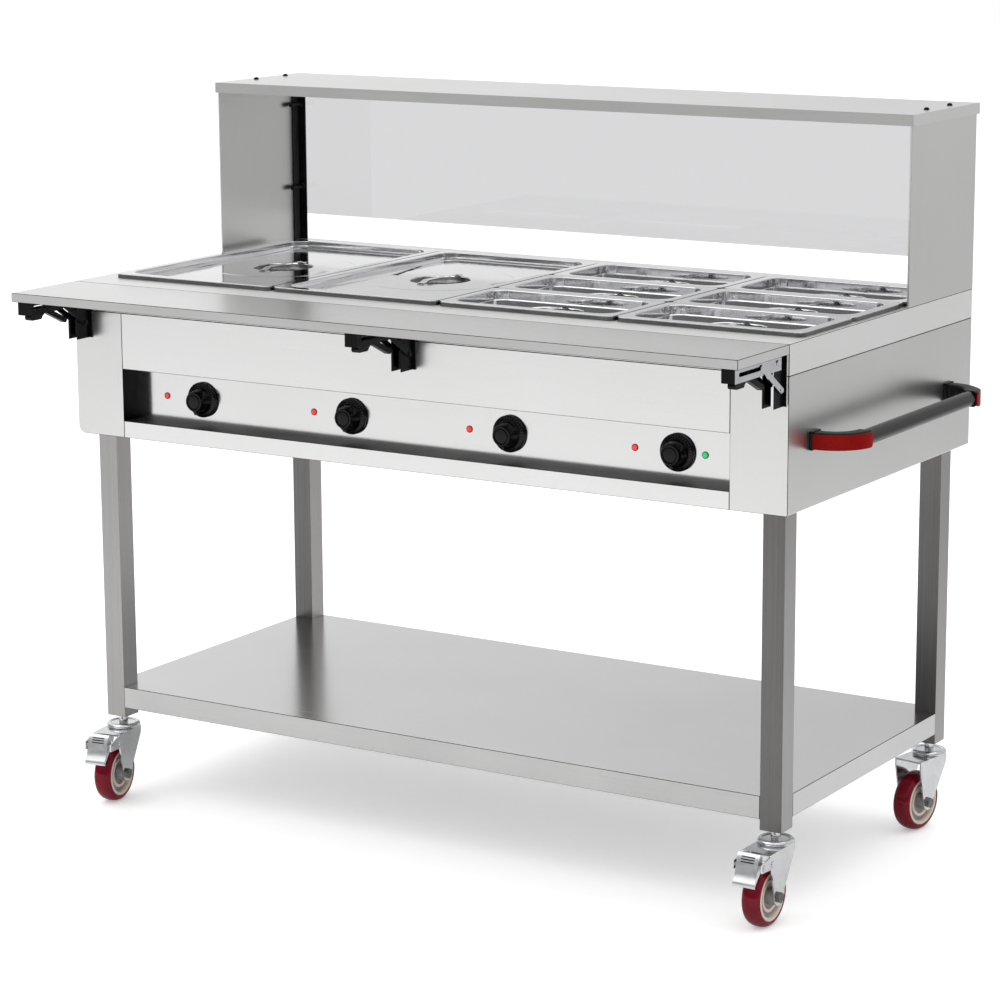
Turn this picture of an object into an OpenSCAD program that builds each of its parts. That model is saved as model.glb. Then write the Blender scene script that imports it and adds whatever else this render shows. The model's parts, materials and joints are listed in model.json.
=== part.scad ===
// Electric food warmer table with four wells, pans and lids, a serving guard,
// a folding tray shelf in front, an undershelf and four swivel casters.
// Millimetres. X runs right, Y runs back, Z runs up from the floor.
// The origin is on the floor, under the middle of the whole table.

/* [Heated body] */
// Width of the body from end to end
body_w = 1356; // [1340:4:1480]
// Distance from the body's front to the pan rims
pan_front = 64.75; // [60.75:1:100.75]
// Distance from the pan rims to the body's back
pan_back = 72.75; // [68.75:1:108.75]
// Height of the worktop above the floor
deck_h = 914.4; // [864.4:10:1004.4]
// Height of the body below the worktop
body_h = 261.4; // [251.4:2:291.4]
// Thickness of the stainless sheet
sheet_t = 1.5; // [1:0.1:2]
// Height of the edge folded down round the worktop
skirt_h = 48.2; // [42.2:1:56.2]
// Width of each end panel's return across the front
column_w = 98.3; // [88.3:1:108.3]
// How far the apron hangs below the worktop
apron_h = 143.5; // [133.5:1:149.5]
// How far the control panel lies behind the front
recess_d = 39.25; // [36.25:0.5:42.25]
// Height of the rail under the control panel
rail_h = 28.6; // [22.6:1:34.6]
// Radius of the left end panel's lower edge
left_edge_r = 14; // [6:1:20]
// Radius of the right end panel's lower edge
right_edge_r = 3; // [2.5:0.5:6]
// Width of the flange folded in under each end panel
flange_w = 62; // [58:1:70]

/* [Pans and lids] */
// Width of every pan over its rim
pan_w = 325; // [321:1:327]
// Depth of a full-size pan over its rim, and of three small ones together
pan_d = 530; // [500:5:535]
// Distance between the middles of two wells
pan_pitch = 328.2; // [328.2:0.2:329.2]
// How deep the pans hang below the worktop
pan_depth = 150; // [100:10:160]
// Height of the pan rims above the worktop
pan_lip_h = 6.8; // [5:0.2:9]
// Thickness of the pan and lid sheet
pan_t = 1.2; // [0.8:0.1:1.4]
// Width of the pan rims
rim_w = 11.5; // [10:0.5:13]
// Radius of the pan body's upright corners
pan_corner_r = 30; // [20:1:40]
// Radius of the pan rim's corners
rim_corner_r = 12; // [8:1:20]
// Gap between neighbouring small pans
small_gap = 1; // [0.6:0.1:2]
// How far the wells lie to the right of the middle
wells_x = 13; // [-13:1:13]
// How far the floor of a full-size lid is sunk
lid_sink = 9; // [6:0.5:12]
// How far the floor of a small lid is sunk
small_lid_sink = 15.5; // [10:0.5:20]
// Radius of the finger dish in a full-size lid
dish_r = 53; // [45:1:60]
// Radius of the finger dish's ends in a small lid
small_dish_r = 40; // [32:1:46]
// How much longer than wide the small lid's dish is
small_dish_stretch = 26; // [10:1:34]
// Depth of the finger dishes
dish_depth = 14; // [10:0.5:18]
// Width of the strap over the dish
strap_w = 25; // [18:1:30]

/* [Legs, undershelf and casters] */
// Side of the square leg tube
leg_w = 38.1; // [34.1:1:42.1]
// Distance from the body's end to the leg's outer face
leg_in_x = 18; // [14:1:20]
// Distance from the body's front to the leg's outer face
leg_in_y = 30.35; // [26.35:1:38.35]
// Height of the undershelf's top above the leg bottom
undershelf_up = 54.6; // [44.6:5:154.6]
// Height of the edge folded down round the undershelf
undershelf_lip_h = 37.2; // [25.2:1:41.2]
// Diameter of the caster wheels
wheel_d = 100; // [90:2:102]
// Width of the wheel's tread
tread_w = 32; // [26:1:36]
// Height of the legs above the floor
caster_h = 146; // [140:1:156]
// How far the wheel trails behind the swivel
trail = 37; // [33:1:39]
// Swing of the front left caster at rest
front_left_turn = 9.2; // [-20:0.1:20]
// Swing of the front right caster at rest
front_right_turn = -1.1; // [-20:0.1:20]
// Swing of the back right caster at rest
back_right_turn = -9.3; // [-20:0.1:20]
// Swing of the back left caster at rest
back_left_turn = 4; // [-20:0.1:20]

/* [Serving guard] */
// Height of the top shelf above the worktop
guard_h = 306.3; // [286.3:5:356.3]
// Depth of the guard's end panels
guard_d = 250.75; // [230.75:5:255.75]
// Thickness of the guard's end panels
guard_t = 3; // [2:0.5:3.5]
// Depth of the top shelf
overshelf_d = 258; // [250:1:270]
// Height of the top shelf's edge
overshelf_lip_h = 18; // [14:1:24]
// Thickness of the clear pane
pane_t = 5; // [3:0.5:6]
// Gap between the worktop and the pane
pane_up = 48; // [30:2:80]

/* [Tray shelf and folding brackets] */
// Depth of the tray shelf
tray_d = 163.9; // [153.9:5:183.9]
// Height of the tray shelf's edge
tray_lip_h = 15.2; // [11.2:1:18.2]
// Place of the left bracket
bracket_left_x = -657; // [-657:1:-600]
// Place of the middle bracket
bracket_middle_x = 0; // [-20:1:20]
// Place of the right bracket
bracket_right_x = 660; // [600:1:660]
// Height of the bracket's wall channel
channel_h = 90; // [86:1:96]
// Width of the wall channel
channel_w = 19; // [18:0.5:20]

/* [Controls] */
// Diameter of the knob's skirt
knob_d = 60; // [50:1:64]
// Diameter of the knob's grip
grip_d = 36; // [30:1:40]
// How far the knobs stand out of the panel
knob_out = 28; // [22:1:34]
// Distance between two knobs
knob_pitch = 303.3; // [295.3:1:309.3]
// How far the knob row lies to the right of the middle
knobs_x = 15; // [5:1:15]
// Diameter of the lamp lenses
lens_d = 11.5; // [9.5:0.5:13.5]
// Distance from a knob to its red lamp
lamp_gap = 76; // [66:1:80]
// Distance from the last knob to the green lamp
green_gap = 47.5; // [44.5:0.5:54.5]

/* [Push handle] */
// Diameter of the handle bar
bar_d = 25; // [20:1:26]
// Distance from the end panel to the bar's middle
bar_out = 61; // [57:1:71]
// Distance from the worktop down to the handle
handle_down = 157; // [137:1:167]
// Distance between the two ends of the handle
handle_span = 490; // [400:10:510]
// How far the handle's middle lies in front of the body's middle
handle_front = 5; // [0:1:15]
// Radius of the handle's elbows
elbow_r = 50; // [46:1:52]

/* [Hidden] */
$fn = 64;
steel = [0.78, 0.78, 0.78];
bright = [0.88, 0.88, 0.88];
black = [0.08, 0.08, 0.08];
red = [0.78, 0.1, 0.06];
wine = [0.5, 0.06, 0.1];
glass = [0.82, 0.83, 0.85, 0.5];
grey = [0.55, 0.55, 0.56];

half_w = body_w / 2;
body_d = pan_front + pan_d + pan_back;
half_d = body_d / 2;
top_z = deck_h;
low_z = deck_h - body_h;
front_y = -half_d;
over = sheet_t;

panel_h = body_h - skirt_h;
column_in_x = half_w - column_w;
apron_z = top_z - apron_h;
rail_top_z = low_z + rail_h;
panel_y = front_y + recess_d;
panel_back_y = panel_y + sheet_t;

wells_y = front_y + pan_front + pan_d / 2;
well_count = 4;
small_count = 3;
open_gap = 2;
open_w = pan_w - 2 * rim_w + 2 * open_gap;
open_d = pan_d - 2 * rim_w + 2 * open_gap;
open_r = pan_corner_r + open_gap;
small_d = (pan_d - (small_count - 1) * small_gap) / small_count;
small_pitch = small_d + small_gap;
well_floor_up = 45;
well_z = low_z + well_floor_up;
well_back_y = wells_y + open_d / 2 + sheet_t;
strap_t = 1.6;
strap_rise = 4;
strap_foot = 9;
element_r = 4;
element_half = 60;
element_up = 24;
element_z = well_z + sheet_t + element_up;
element_out = 15;
element_nut_r = 9;
element_nut_t = 6;
element_fit = 0.5;
element_end_gap = 20;

leg_wall = 1.5;
leg_x = half_w - leg_in_x - leg_w / 2;
leg_y = half_d - leg_in_y - leg_w / 2;
shelf_half_w = half_w - leg_in_x;
shelf_half_d = half_d - leg_in_y;
undershelf_z = caster_h + undershelf_up;
plug_h = 30;
stem_r = 8;
stem_up = 26;
stem_fit = 0.05;
race_r = 28;
race_t = 6;
race_drop = 15;
race_z = caster_h - race_drop;
crown_z = race_z - race_t;
crown_t = 3;
pin_r = 6;
rivet_r = 10;
rivet_t = 2.5;
rivet_gap = 1;
run_fit = 0.05;
wheel_r = wheel_d / 2;
fork_half = 26;
fork_t = 2.5;
fork_back = 15;
fork_front = 62;
fork_shoulder = 13;
fork_foot_r = 13;
axle_r = 5;
axle_fit = 0.2;
axle_head_r = 9;
axle_head_t = 5;
hub_half = 23.2;
hub_r = 12;
web_half = 7;
rim_r_share = 0.74;
tread_edge = 3;
cover_gap = 0.3;
brake_e = 84;
brake_down = 16;
brake_link_e = 58;
brake_ear_end = 92;
brake_ear_up = 9;
brake_ear_low = 22;
pedal_w = 38;
pedal_t = 2;
pedal_top_e = 83;
pedal_top_down = 1;
pedal_low_e = 103;
pedal_low_down = 50;
pedal_slot_w = 5;
pedal_slot_step = 10;
pedal_slot_h = 8;
brake_pin_r = 3;
brake_head_r = 5;
brake_head_t = 1.5;

guard_front_y = half_d - guard_d;
guard_top_z = top_z + guard_h;
guard_under_z = guard_top_z - sheet_t;
guard_in_x = half_w - guard_t;
guard_flange_w = 30;
guard_flange_y = 8;
overshelf_over_x = 3.5;
overshelf_over_y = 3.2;
overshelf_front_y = guard_front_y - overshelf_over_y;
pane_in = 10.75;
pane_y = half_d - pane_in;
strip_t = 2;
strip_leg = 19;
strip_back = 18;
strip_y = pane_y - strip_leg;
screw_high = 251;
screw_low = 98;
screw_r = 2.5;
screw_fit = 0.3;
screw_grip_r = 4.5;
screw_grip_l = 34;
screw_collar_r = 7;
screw_collar_t = 5;
screw_nut_r = 5;
screw_nut_t = 4;
bolt_in_x = 18;
bolt_in_y = 92;
bolt_step = 90;
bolt_x = half_w - bolt_in_x;
bolt_y1 = guard_front_y + bolt_in_y;
bolt_y2 = bolt_y1 + bolt_step;
bolt_r = 3;
bolt_head_r = 6.5;
bolt_head_t = 4;
bolt_nut_t = 5;

tray_gap = 0.5;
tray_back_y = front_y - tray_gap;
tray_front_y = tray_back_y - tray_d;
fold_out = 24.25;
fold_down = 25;
link_out = 14.25;
link_down = 67;
link_reach = 76.25;
lever_out = 110.25;
lever_top = 32;
strut_out = 58.25;
strut_down = 57;
fold_y = front_y - fold_out;
fold_z = top_z - fold_down;
link_y = front_y - link_out;
link_z = top_z - link_down;
link_top_y = front_y - link_reach;
lever_y = front_y - lever_out;
lever_z = top_z - lever_top;
strut_y = front_y - strut_out;
strut_z = top_z - strut_down;
bracket_t = 1.5;
layer_gap = 0.3;
base_half_w = 15;
base_t = 2;
channel_top = 12;
base_top = 4;
channel_d = 34;
lip_half = 5.5;
lip_top = 60;
lip_low = 88;
arm_out_x = channel_w / 2 + layer_gap + bracket_t;
arm_low = 37;
arm_end_gap = 4.5;
arm_tail = 12;
arm_web_tail = 6;
arm_end_y = tray_front_y + arm_end_gap;
arm_back_y = fold_y + arm_tail;
arm_web_back_y = fold_y + arm_web_tail;
arm_cap_t = 2;
slot_r = 3.2;
slot_lead = 3;
slot_reach = 68;
slot_back_y = link_top_y - slot_lead;
slot_front_y = link_top_y - slot_reach;
notch_back = 34;
notch_front = 46.5;
notch_top = 29.8;
link_in_x = arm_out_x + layer_gap;
link_out_x = link_in_x + bracket_t;
link_half = 5;
fold_pin_r = 3;
fold_head_r = 4.5;
link_pin_r = 2.5;
link_head_r = 4;
link_head_t = 1.2;
lever_pin_r = 2.5;
strut_half_w = 4.5;
strut_half = 4.5;
lever_in_x = 5;
lever_out_x = 6.5;
lever_boss_r = 5;
lever_r = 5;
lever_back = 14;
lever_end = 34;
lever_down = 10.3;

knob_drop = 1.35;
knob_z = (rail_top_z + apron_z) / 2 - knob_drop;
knob_lift = 1;
knob_skirt_t = 6;
spindle_r = 3;
spindle_l = 17;
spindle_hole_r = 4.5;
pointer_w = 7;
pointer_out = 4;
thermostat_w = 42;
thermostat_h = 36;
thermostat_gap = 4;
thermostat_d = pan_front + rim_w - open_gap - 2 * sheet_t - recess_d - thermostat_gap;
lens_out = 3.5;
lamp_neck_r = 4.4;
lamp_hole_r = 4.7;
lamp_body_r = 6.5;
lamp_body_l = 16;
box_w = 120;
box_h = 70;
box_d = 45;
box_t = 2;
terminal_w = 60;
terminal_h = 18;
terminal_d = 16;
gland_x = 480;
gland_up = 40;
gland_hole_r = 10.2;
gland_r = 10;
gland_bore_r = 5;
gland_flange_r = 14;
gland_flange_t = 5;
gland_dome_r = 11.5;
gland_dome_l = 14;
gland_in = 12;
gland_nut_t = 5;

foot_r = 19;
foot_t = 6;
handle_z = top_z - handle_down;
bar_x = half_w + bar_out;
elbow_x = bar_x - elbow_r;
handle_y1 = -handle_front - handle_span / 2;
handle_y2 = -handle_front + handle_span / 2;
elbow_tube_r = 13;
cover_t = 1.6;

middle_x = (bar_x + elbow_tube_r + cover_gap + cover_t - half_w - overshelf_over_x) / 2;
middle_y = (half_d + gland_flange_t + gland_dome_l + tray_front_y) / 2;

function well_x(i) = wells_x + (i - (well_count - 1) / 2) * pan_pitch;
function small_y(j) = wells_y + (j - (small_count - 1) / 2) * small_pitch;
function knob_x(i) = knobs_x + (i - (well_count - 1) / 2) * knob_pitch;

// The modules measure from the middle of the heated body; this moves them to the origin
module placed() {
    translate([-middle_x, -middle_y, 0])
        children();
}

// A box given by its limits along each axis
module block(x1, x2, y1, y2, z1, z2) {
    translate([x1, y1, z1])
        cube([x2 - x1, y2 - y1, z2 - z1]);
}

module round_rect(w, d, r) {
    square([w - 2 * r, d], center = true);
    square([w, d - 2 * r], center = true);
    for (sx = [-1, 1], sy = [-1, 1])
        translate([sx * (w / 2 - r), sy * (d / 2 - r)])
            circle(r);
}

// A flat bar with round ends between two points
module capsule(y1, z1, y2, z2, r) {
    long = norm([y2 - y1, z2 - z1]);
    translate([y1, z1])
        rotate(atan2(z2 - z1, y2 - y1))
            translate([0, -r])
                square([long, 2 * r]);
    translate([y1, z1])
        circle(r);
    translate([y2, z2])
        circle(r);
}

// Stands a drawing of the YZ plane up and gives it thickness along X
module side_plate(x1, x2) {
    translate([x1, 0, 0])
        rotate([90, 0, 90])
            linear_extrude(x2 - x1)
                children();
}

// The same on both sides of the middle plane
module side_pair(x_in, x_out) {
    side_plate(x_in, x_out)
        children();
    side_plate(-x_out, -x_in)
        children();
}

// A round bar along X
module cross_bar(x1, x2, y, z, r) {
    translate([x1, y, z])
        rotate([0, 90, 0])
            cylinder(r = r, h = x2 - x1);
}

// A round bar along Y
module long_bar(y1, y2, x, z, r) {
    translate([x, y1, z])
        rotate([-90, 0, 0])
            cylinder(r = r, h = y2 - y1);
}

// Body

module deck() color(steel) placed() {
    difference() {
        block(-half_w, half_w, front_y, half_d, top_z - skirt_h, top_z);
        block(-half_w + sheet_t, half_w - sheet_t, front_y + sheet_t, half_d - sheet_t,
            top_z - skirt_h - over, top_z - sheet_t);
        for (i = [0 : well_count - 1])
            translate([well_x(i), wells_y, top_z - sheet_t - over])
                linear_extrude(sheet_t + 2 * over)
                    round_rect(open_w, open_d, open_r);
    }
}

module soft_corner(w, h, r) {
    translate([r, 0])
        square([w - r, h]);
    translate([0, r])
        square([r, h - r]);
    translate([r, r])
        circle(r);
}

// An end panel at the left; the right one is its mirror image
module end_panel(edge_r) {
    translate([-half_w, half_d, low_z])
        rotate([90, 0, 0])
            linear_extrude(body_d)
                difference() {
                    soft_corner(flange_w, panel_h, edge_r);
                    translate([sheet_t, sheet_t])
                        soft_corner(flange_w, panel_h, edge_r - sheet_t);
                }
    translate([-half_w, front_y + sheet_t, low_z])
        rotate([90, 0, 0])
            linear_extrude(sheet_t)
                soft_corner(column_w, panel_h, edge_r);
    block(-column_in_x - sheet_t, -column_in_x, front_y, panel_back_y,
        low_z + 2 * sheet_t, top_z - skirt_h);
}

module left_end_panel() color(steel) placed() {
    end_panel(left_edge_r);
}

module right_end_panel() color(steel) placed() {
    mirror([1, 0, 0])
        end_panel(right_edge_r);
}

module front_apron() color(steel) placed() {
    block(-column_in_x, column_in_x, front_y, front_y + sheet_t, apron_z, top_z - skirt_h);
    block(-column_in_x, column_in_x, front_y, panel_back_y, apron_z, apron_z + sheet_t);
}

module control_panel() color(steel) placed() {
    difference() {
        block(-column_in_x, column_in_x, panel_y, panel_back_y, rail_top_z, apron_z);
        for (i = [0 : well_count - 1]) {
            long_bar(panel_y - over, panel_back_y + over, knob_x(i), knob_z, spindle_hole_r);
            long_bar(panel_y - over, panel_back_y + over, knob_x(i) - lamp_gap, knob_z, lamp_hole_r);
        }
        long_bar(panel_y - over, panel_back_y + over, knob_x(well_count - 1) + green_gap, knob_z,
            lamp_hole_r);
    }
}

module lower_rail() color(steel) placed() {
    block(-column_in_x, column_in_x, front_y, front_y + sheet_t, low_z, rail_top_z);
    block(-column_in_x, column_in_x, front_y, panel_back_y, rail_top_z - sheet_t, rail_top_z);
}

module back_panel() color(steel) placed() {
    difference() {
        union() {
            block(-half_w + sheet_t, half_w - sheet_t, half_d - sheet_t, half_d,
                low_z + left_edge_r, top_z - skirt_h);
            block(-half_w + left_edge_r, half_w - right_edge_r, half_d - sheet_t, half_d,
                low_z + sheet_t, low_z + left_edge_r);
        }
        long_bar(half_d - sheet_t - over, half_d + over, gland_x, low_z + gland_up, gland_hole_r);
    }
}

module bottom_panel() color(steel) placed() {
    block(-half_w + left_edge_r, half_w - right_edge_r, front_y + sheet_t, half_d - sheet_t,
        low_z + sheet_t, low_z + 2 * sheet_t);
}

module water_wells() color(steel) placed() {
    for (i = [0 : well_count - 1])
        translate([well_x(i), wells_y, 0])
            difference() {
                translate([0, 0, well_z])
                    linear_extrude(top_z - sheet_t - well_z)
                        round_rect(open_w + 2 * sheet_t, open_d + 2 * sheet_t, open_r + sheet_t);
                translate([0, 0, well_z + sheet_t])
                    linear_extrude(top_z - well_z)
                        round_rect(open_w, open_d, open_r);
                for (s = [-1, 1])
                    long_bar(open_d / 2 - over, open_d / 2 + sheet_t + over, s * element_half,
                        element_z, element_r + element_fit);
            }
}

module heating_elements() color(grey) placed() {
    bend_y = wells_y - open_d / 2 + element_half + element_end_gap;
    for (i = [0 : well_count - 1]) {
        for (s = [-1, 1]) {
            long_bar(bend_y, well_back_y + element_out, well_x(i) + s * element_half, element_z,
                element_r);
            translate([well_x(i) + s * element_half, well_back_y, element_z])
                rotate([-90, 0, 0])
                    cylinder(r = element_nut_r, h = element_nut_t, $fn = 6);
        }
        translate([well_x(i), bend_y, element_z])
            rotate([0, 0, 180])
                rotate_extrude(angle = 180)
                    translate([element_half, 0])
                        circle(element_r);
    }
}

module thermostats() color(black) placed() {
    for (i = [0 : well_count - 1])
        difference() {
            block(knob_x(i) - thermostat_w / 2, knob_x(i) + thermostat_w / 2, panel_back_y,
                panel_back_y + thermostat_d, knob_z - thermostat_h / 2, knob_z + thermostat_h / 2);
            long_bar(panel_back_y - over, panel_back_y + spindle_l + over, knob_x(i), knob_z,
                spindle_r + run_fit);
        }
}

module pilot_lamp(x) {
    long_bar(panel_y - lens_out, panel_y, x, knob_z, lens_d / 2);
    long_bar(panel_y, panel_back_y, x, knob_z, lamp_neck_r);
    long_bar(panel_back_y, panel_back_y + lamp_body_l, x, knob_z, lamp_body_r);
}

module pilot_lamps() color(red) placed() {
    for (i = [0 : well_count - 1])
        pilot_lamp(knob_x(i) - lamp_gap);
    pilot_lamp(knob_x(well_count - 1) + green_gap);
}

module junction_box() color(black) placed() {
    box_y = half_d - sheet_t;
    box_z = low_z + 2 * sheet_t;
    difference() {
        block(gland_x - box_w / 2, gland_x + box_w / 2, box_y - box_d, box_y, box_z, box_z + box_h);
        block(gland_x - box_w / 2 + box_t, gland_x + box_w / 2 - box_t, box_y - box_d + box_t,
            box_y + over, box_z + box_t, box_z + box_h - box_t);
    }
    block(gland_x - terminal_w / 2, gland_x + terminal_w / 2, box_y - box_d + box_t,
        box_y - box_d + box_t + terminal_d, box_z + box_t, box_z + box_t + terminal_h);
}

module cable_gland() color(black) placed() {
    difference() {
        union() {
            long_bar(half_d - sheet_t - gland_in, half_d, gland_x, low_z + gland_up, gland_r);
            translate([gland_x, half_d, low_z + gland_up])
                rotate([-90, 0, 0])
                    cylinder(r = gland_flange_r, h = gland_flange_t, $fn = 6);
            long_bar(half_d + gland_flange_t, half_d + gland_flange_t + gland_dome_l, gland_x,
                low_z + gland_up, gland_dome_r);
            translate([gland_x, half_d - sheet_t - gland_nut_t, low_z + gland_up])
                rotate([-90, 0, 0])
                    cylinder(r = gland_flange_r, h = gland_nut_t, $fn = 6);
        }
        long_bar(half_d - sheet_t - gland_in - over, half_d + gland_flange_t + gland_dome_l + over,
            gland_x, low_z + gland_up, gland_bore_r);
    }
}

// Legs and undershelf

module legs() color(steel) placed() {
    for (sx = [-1, 1], sy = [-1, 1])
        translate([sx * leg_x, sy * leg_y, 0])
            difference() {
                block(-leg_w / 2, leg_w / 2, -leg_w / 2, leg_w / 2, caster_h, low_z);
                block(-leg_w / 2 + leg_wall, leg_w / 2 - leg_wall, -leg_w / 2 + leg_wall,
                    leg_w / 2 - leg_wall, caster_h + plug_h, low_z + over);
                translate([0, 0, caster_h - over])
                    cylinder(r = stem_r + stem_fit, h = stem_up + over);
            }
}

module undershelf() color(steel) placed() {
    difference() {
        block(-shelf_half_w, shelf_half_w, -shelf_half_d, shelf_half_d,
            undershelf_z - undershelf_lip_h, undershelf_z);
        block(-shelf_half_w + sheet_t, shelf_half_w - sheet_t, -shelf_half_d + sheet_t,
            shelf_half_d - sheet_t, undershelf_z - undershelf_lip_h - over, undershelf_z - sheet_t);
        for (sx = [-1, 1], sy = [-1, 1])
            translate([sx * leg_x, sy * leg_y, 0])
                block(-leg_w / 2, leg_w / 2, -leg_w / 2, leg_w / 2,
                    undershelf_z - undershelf_lip_h - over, undershelf_z + over);
    }
}

// Serving guard

module guard_panel(s) {
    x1 = s < 0 ? -half_w : guard_in_x;
    block(x1, x1 + guard_t, guard_front_y, half_d, top_z, guard_under_z);
    difference() {
        block(s < 0 ? -guard_in_x : guard_in_x - guard_flange_w,
            s < 0 ? -guard_in_x + guard_flange_w : guard_in_x,
            guard_front_y + guard_flange_y, strip_y - guard_flange_y,
            guard_under_z - sheet_t, guard_under_z);
        for (y = [bolt_y1, bolt_y2])
            translate([s * bolt_x, y, guard_under_z - sheet_t - over])
                cylinder(r = bolt_r + screw_fit, h = sheet_t + 2 * over);
    }
}

module left_guard_panel() color(steel) placed() {
    guard_panel(-1);
}

module right_guard_panel() color(steel) placed() {
    guard_panel(1);
}

module overshelf() color(steel) placed() {
    half = half_w + overshelf_over_x;
    difference() {
        block(-half, half, overshelf_front_y, overshelf_front_y + overshelf_d,
            guard_top_z - overshelf_lip_h, guard_top_z);
        block(-half + sheet_t, half - sheet_t, overshelf_front_y + sheet_t,
            overshelf_front_y + overshelf_d - sheet_t, guard_top_z - overshelf_lip_h - over,
            guard_under_z);
        for (s = [-1, 1], y = [bolt_y1, bolt_y2])
            translate([s * bolt_x, y, guard_under_z - over])
                cylinder(r = bolt_r + screw_fit, h = sheet_t + 2 * over);
    }
}

module guard_pane() color(glass) placed() {
    difference() {
        block(-guard_in_x, guard_in_x, pane_y, pane_y + pane_t, top_z + pane_up, guard_under_z);
        for (s = [-1, 1], up = [screw_low, screw_high])
            long_bar(pane_y - over, pane_y + pane_t + over, s * (guard_in_x - strip_back / 2),
                top_z + up, screw_r + screw_fit);
    }
}

module pane_strips() color(black) placed() {
    for (s = [-1, 1])
        difference() {
            union() {
                block(s < 0 ? -guard_in_x : guard_in_x - strip_t,
                    s < 0 ? -guard_in_x + strip_t : guard_in_x,
                    strip_y, pane_y, top_z, guard_under_z);
                block(s < 0 ? -guard_in_x : guard_in_x - strip_back,
                    s < 0 ? -guard_in_x + strip_back : guard_in_x,
                    pane_y - strip_t, pane_y, top_z, guard_under_z);
            }
            for (up = [screw_low, screw_high])
                long_bar(pane_y - strip_t - over, pane_y + over, s * (guard_in_x - strip_back / 2),
                    top_z + up, screw_r + screw_fit);
        }
}

module thumb_screw(x, z) {
    front = pane_y - strip_t;
    long_bar(front - screw_grip_l, front - screw_collar_t, x, z, screw_grip_r);
    long_bar(front - screw_collar_t, front, x, z, screw_collar_r);
    long_bar(front, pane_y + pane_t + screw_nut_t, x, z, screw_r);
    translate([x, pane_y + pane_t, z])
        rotate([-90, 0, 0])
            cylinder(r = screw_nut_r, h = screw_nut_t, $fn = 6);
}

module shelf_bolt(x, y) {
    translate([x, y, guard_top_z])
        cylinder(r = bolt_head_r, h = bolt_head_t, $fn = 6);
    translate([x, y, guard_under_z - sheet_t - bolt_nut_t])
        cylinder(r = bolt_r, h = bolt_nut_t + 2 * sheet_t);
    translate([x, y, guard_under_z - sheet_t - bolt_nut_t])
        cylinder(r = bolt_head_r, h = bolt_nut_t, $fn = 6);
}

module guard_fasteners() color(grey) placed() {
    for (s = [-1, 1], up = [screw_low, screw_high])
        thumb_screw(s * (guard_in_x - strip_back / 2), top_z + up);
    for (s = [-1, 1], y = [bolt_y1, bolt_y2])
        shelf_bolt(s * bolt_x, y);
}

// Push handle on the right end

module handle_bar() color(black) placed() {
    long_bar(handle_y1 + elbow_r, handle_y2 - elbow_r, bar_x, handle_z, bar_d / 2);
}

module handle_end(y) {
    cross_bar(half_w, half_w + foot_t, y, handle_z, foot_r);
    cross_bar(half_w + foot_t, elbow_x, y, handle_z, elbow_tube_r);
}

module elbow_bend(from) {
    rotate([0, 0, from])
        rotate_extrude(angle = 90)
            translate([elbow_r, 0])
                children();
}

module handle_elbows() color(black) placed() {
    handle_end(handle_y1);
    handle_end(handle_y2);
    translate([elbow_x, handle_y1 + elbow_r, handle_z])
        elbow_bend(-90)
            circle(elbow_tube_r);
    translate([elbow_x, handle_y2 - elbow_r, handle_z])
        elbow_bend(0)
            circle(elbow_tube_r);
}

// The outer half of a ring that wraps the elbow tube
module cover_section() {
    in_r = elbow_tube_r + cover_gap;
    out_r = in_r + cover_t;
    difference() {
        circle(out_r);
        circle(in_r);
        translate([-2 * out_r, -out_r - over])
            square([2 * out_r, 2 * (out_r + over)]);
    }
}

module cover_neck(y, turn) {
    translate([half_w + foot_t, y, handle_z])
        rotate([turn, 0, 0])
            rotate([90, 0, 90])
                linear_extrude(elbow_x - half_w - foot_t)
                    cover_section();
}

module handle_covers() color(red) placed() {
    cover_neck(handle_y1, 180);
    cover_neck(handle_y2, 0);
    translate([elbow_x, handle_y1 + elbow_r, handle_z])
        elbow_bend(-90)
            cover_section();
    translate([elbow_x, handle_y2 - elbow_r, handle_z])
        elbow_bend(0)
            cover_section();
}

// Tray shelf and its folding brackets

module tray_shelf() color(steel) placed() {
    difference() {
        block(-half_w, half_w, tray_front_y, tray_back_y, top_z - tray_lip_h, top_z);
        block(-half_w + sheet_t, half_w - sheet_t, tray_front_y + sheet_t, tray_back_y + over,
            top_z - tray_lip_h - over, top_z - sheet_t);
    }
}

module each_bracket() {
    for (x = [bracket_left_x, bracket_middle_x, bracket_right_x])
        translate([x, 0, 0])
            children();
}

module channel_side() {
    back = front_y - base_t;
    front = front_y - channel_d;
    translate([front, top_z - base_top - channel_h])
        square([back - front, channel_h + base_top - channel_top]);
}

module bracket_channel() {
    half = channel_w / 2;
    in = half - bracket_t;
    low = top_z - base_top - channel_h;
    block(-base_half_w, base_half_w, front_y - base_t, front_y, low, top_z - base_top);
    side_pair(in, half)
        channel_side();
    for (s = [-1, 1])
        block(s < 0 ? -in : lip_half, s < 0 ? -lip_half : in, front_y - channel_d,
            front_y - channel_d + bracket_t, top_z - lip_low, top_z - lip_top);
    cross_bar(-link_out_x, link_out_x, fold_y, fold_z, fold_pin_r);
    for (s = [-1, 1]) {
        cross_bar(s < 0 ? -link_out_x : link_in_x, s < 0 ? -link_in_x : link_out_x,
            fold_y, fold_z, fold_head_r);
        cross_bar(s < 0 ? -link_out_x - layer_gap : in, s < 0 ? -in : link_out_x + layer_gap,
            link_y, link_z, link_pin_r);
        cross_bar(s < 0 ? -link_out_x - layer_gap - link_head_t : link_out_x + layer_gap,
            s < 0 ? -link_out_x - layer_gap : link_out_x + layer_gap + link_head_t,
            link_y, link_z, link_head_r);
    }
}

module bracket_channels() color(black) placed() {
    each_bracket()
        bracket_channel();
}

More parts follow.
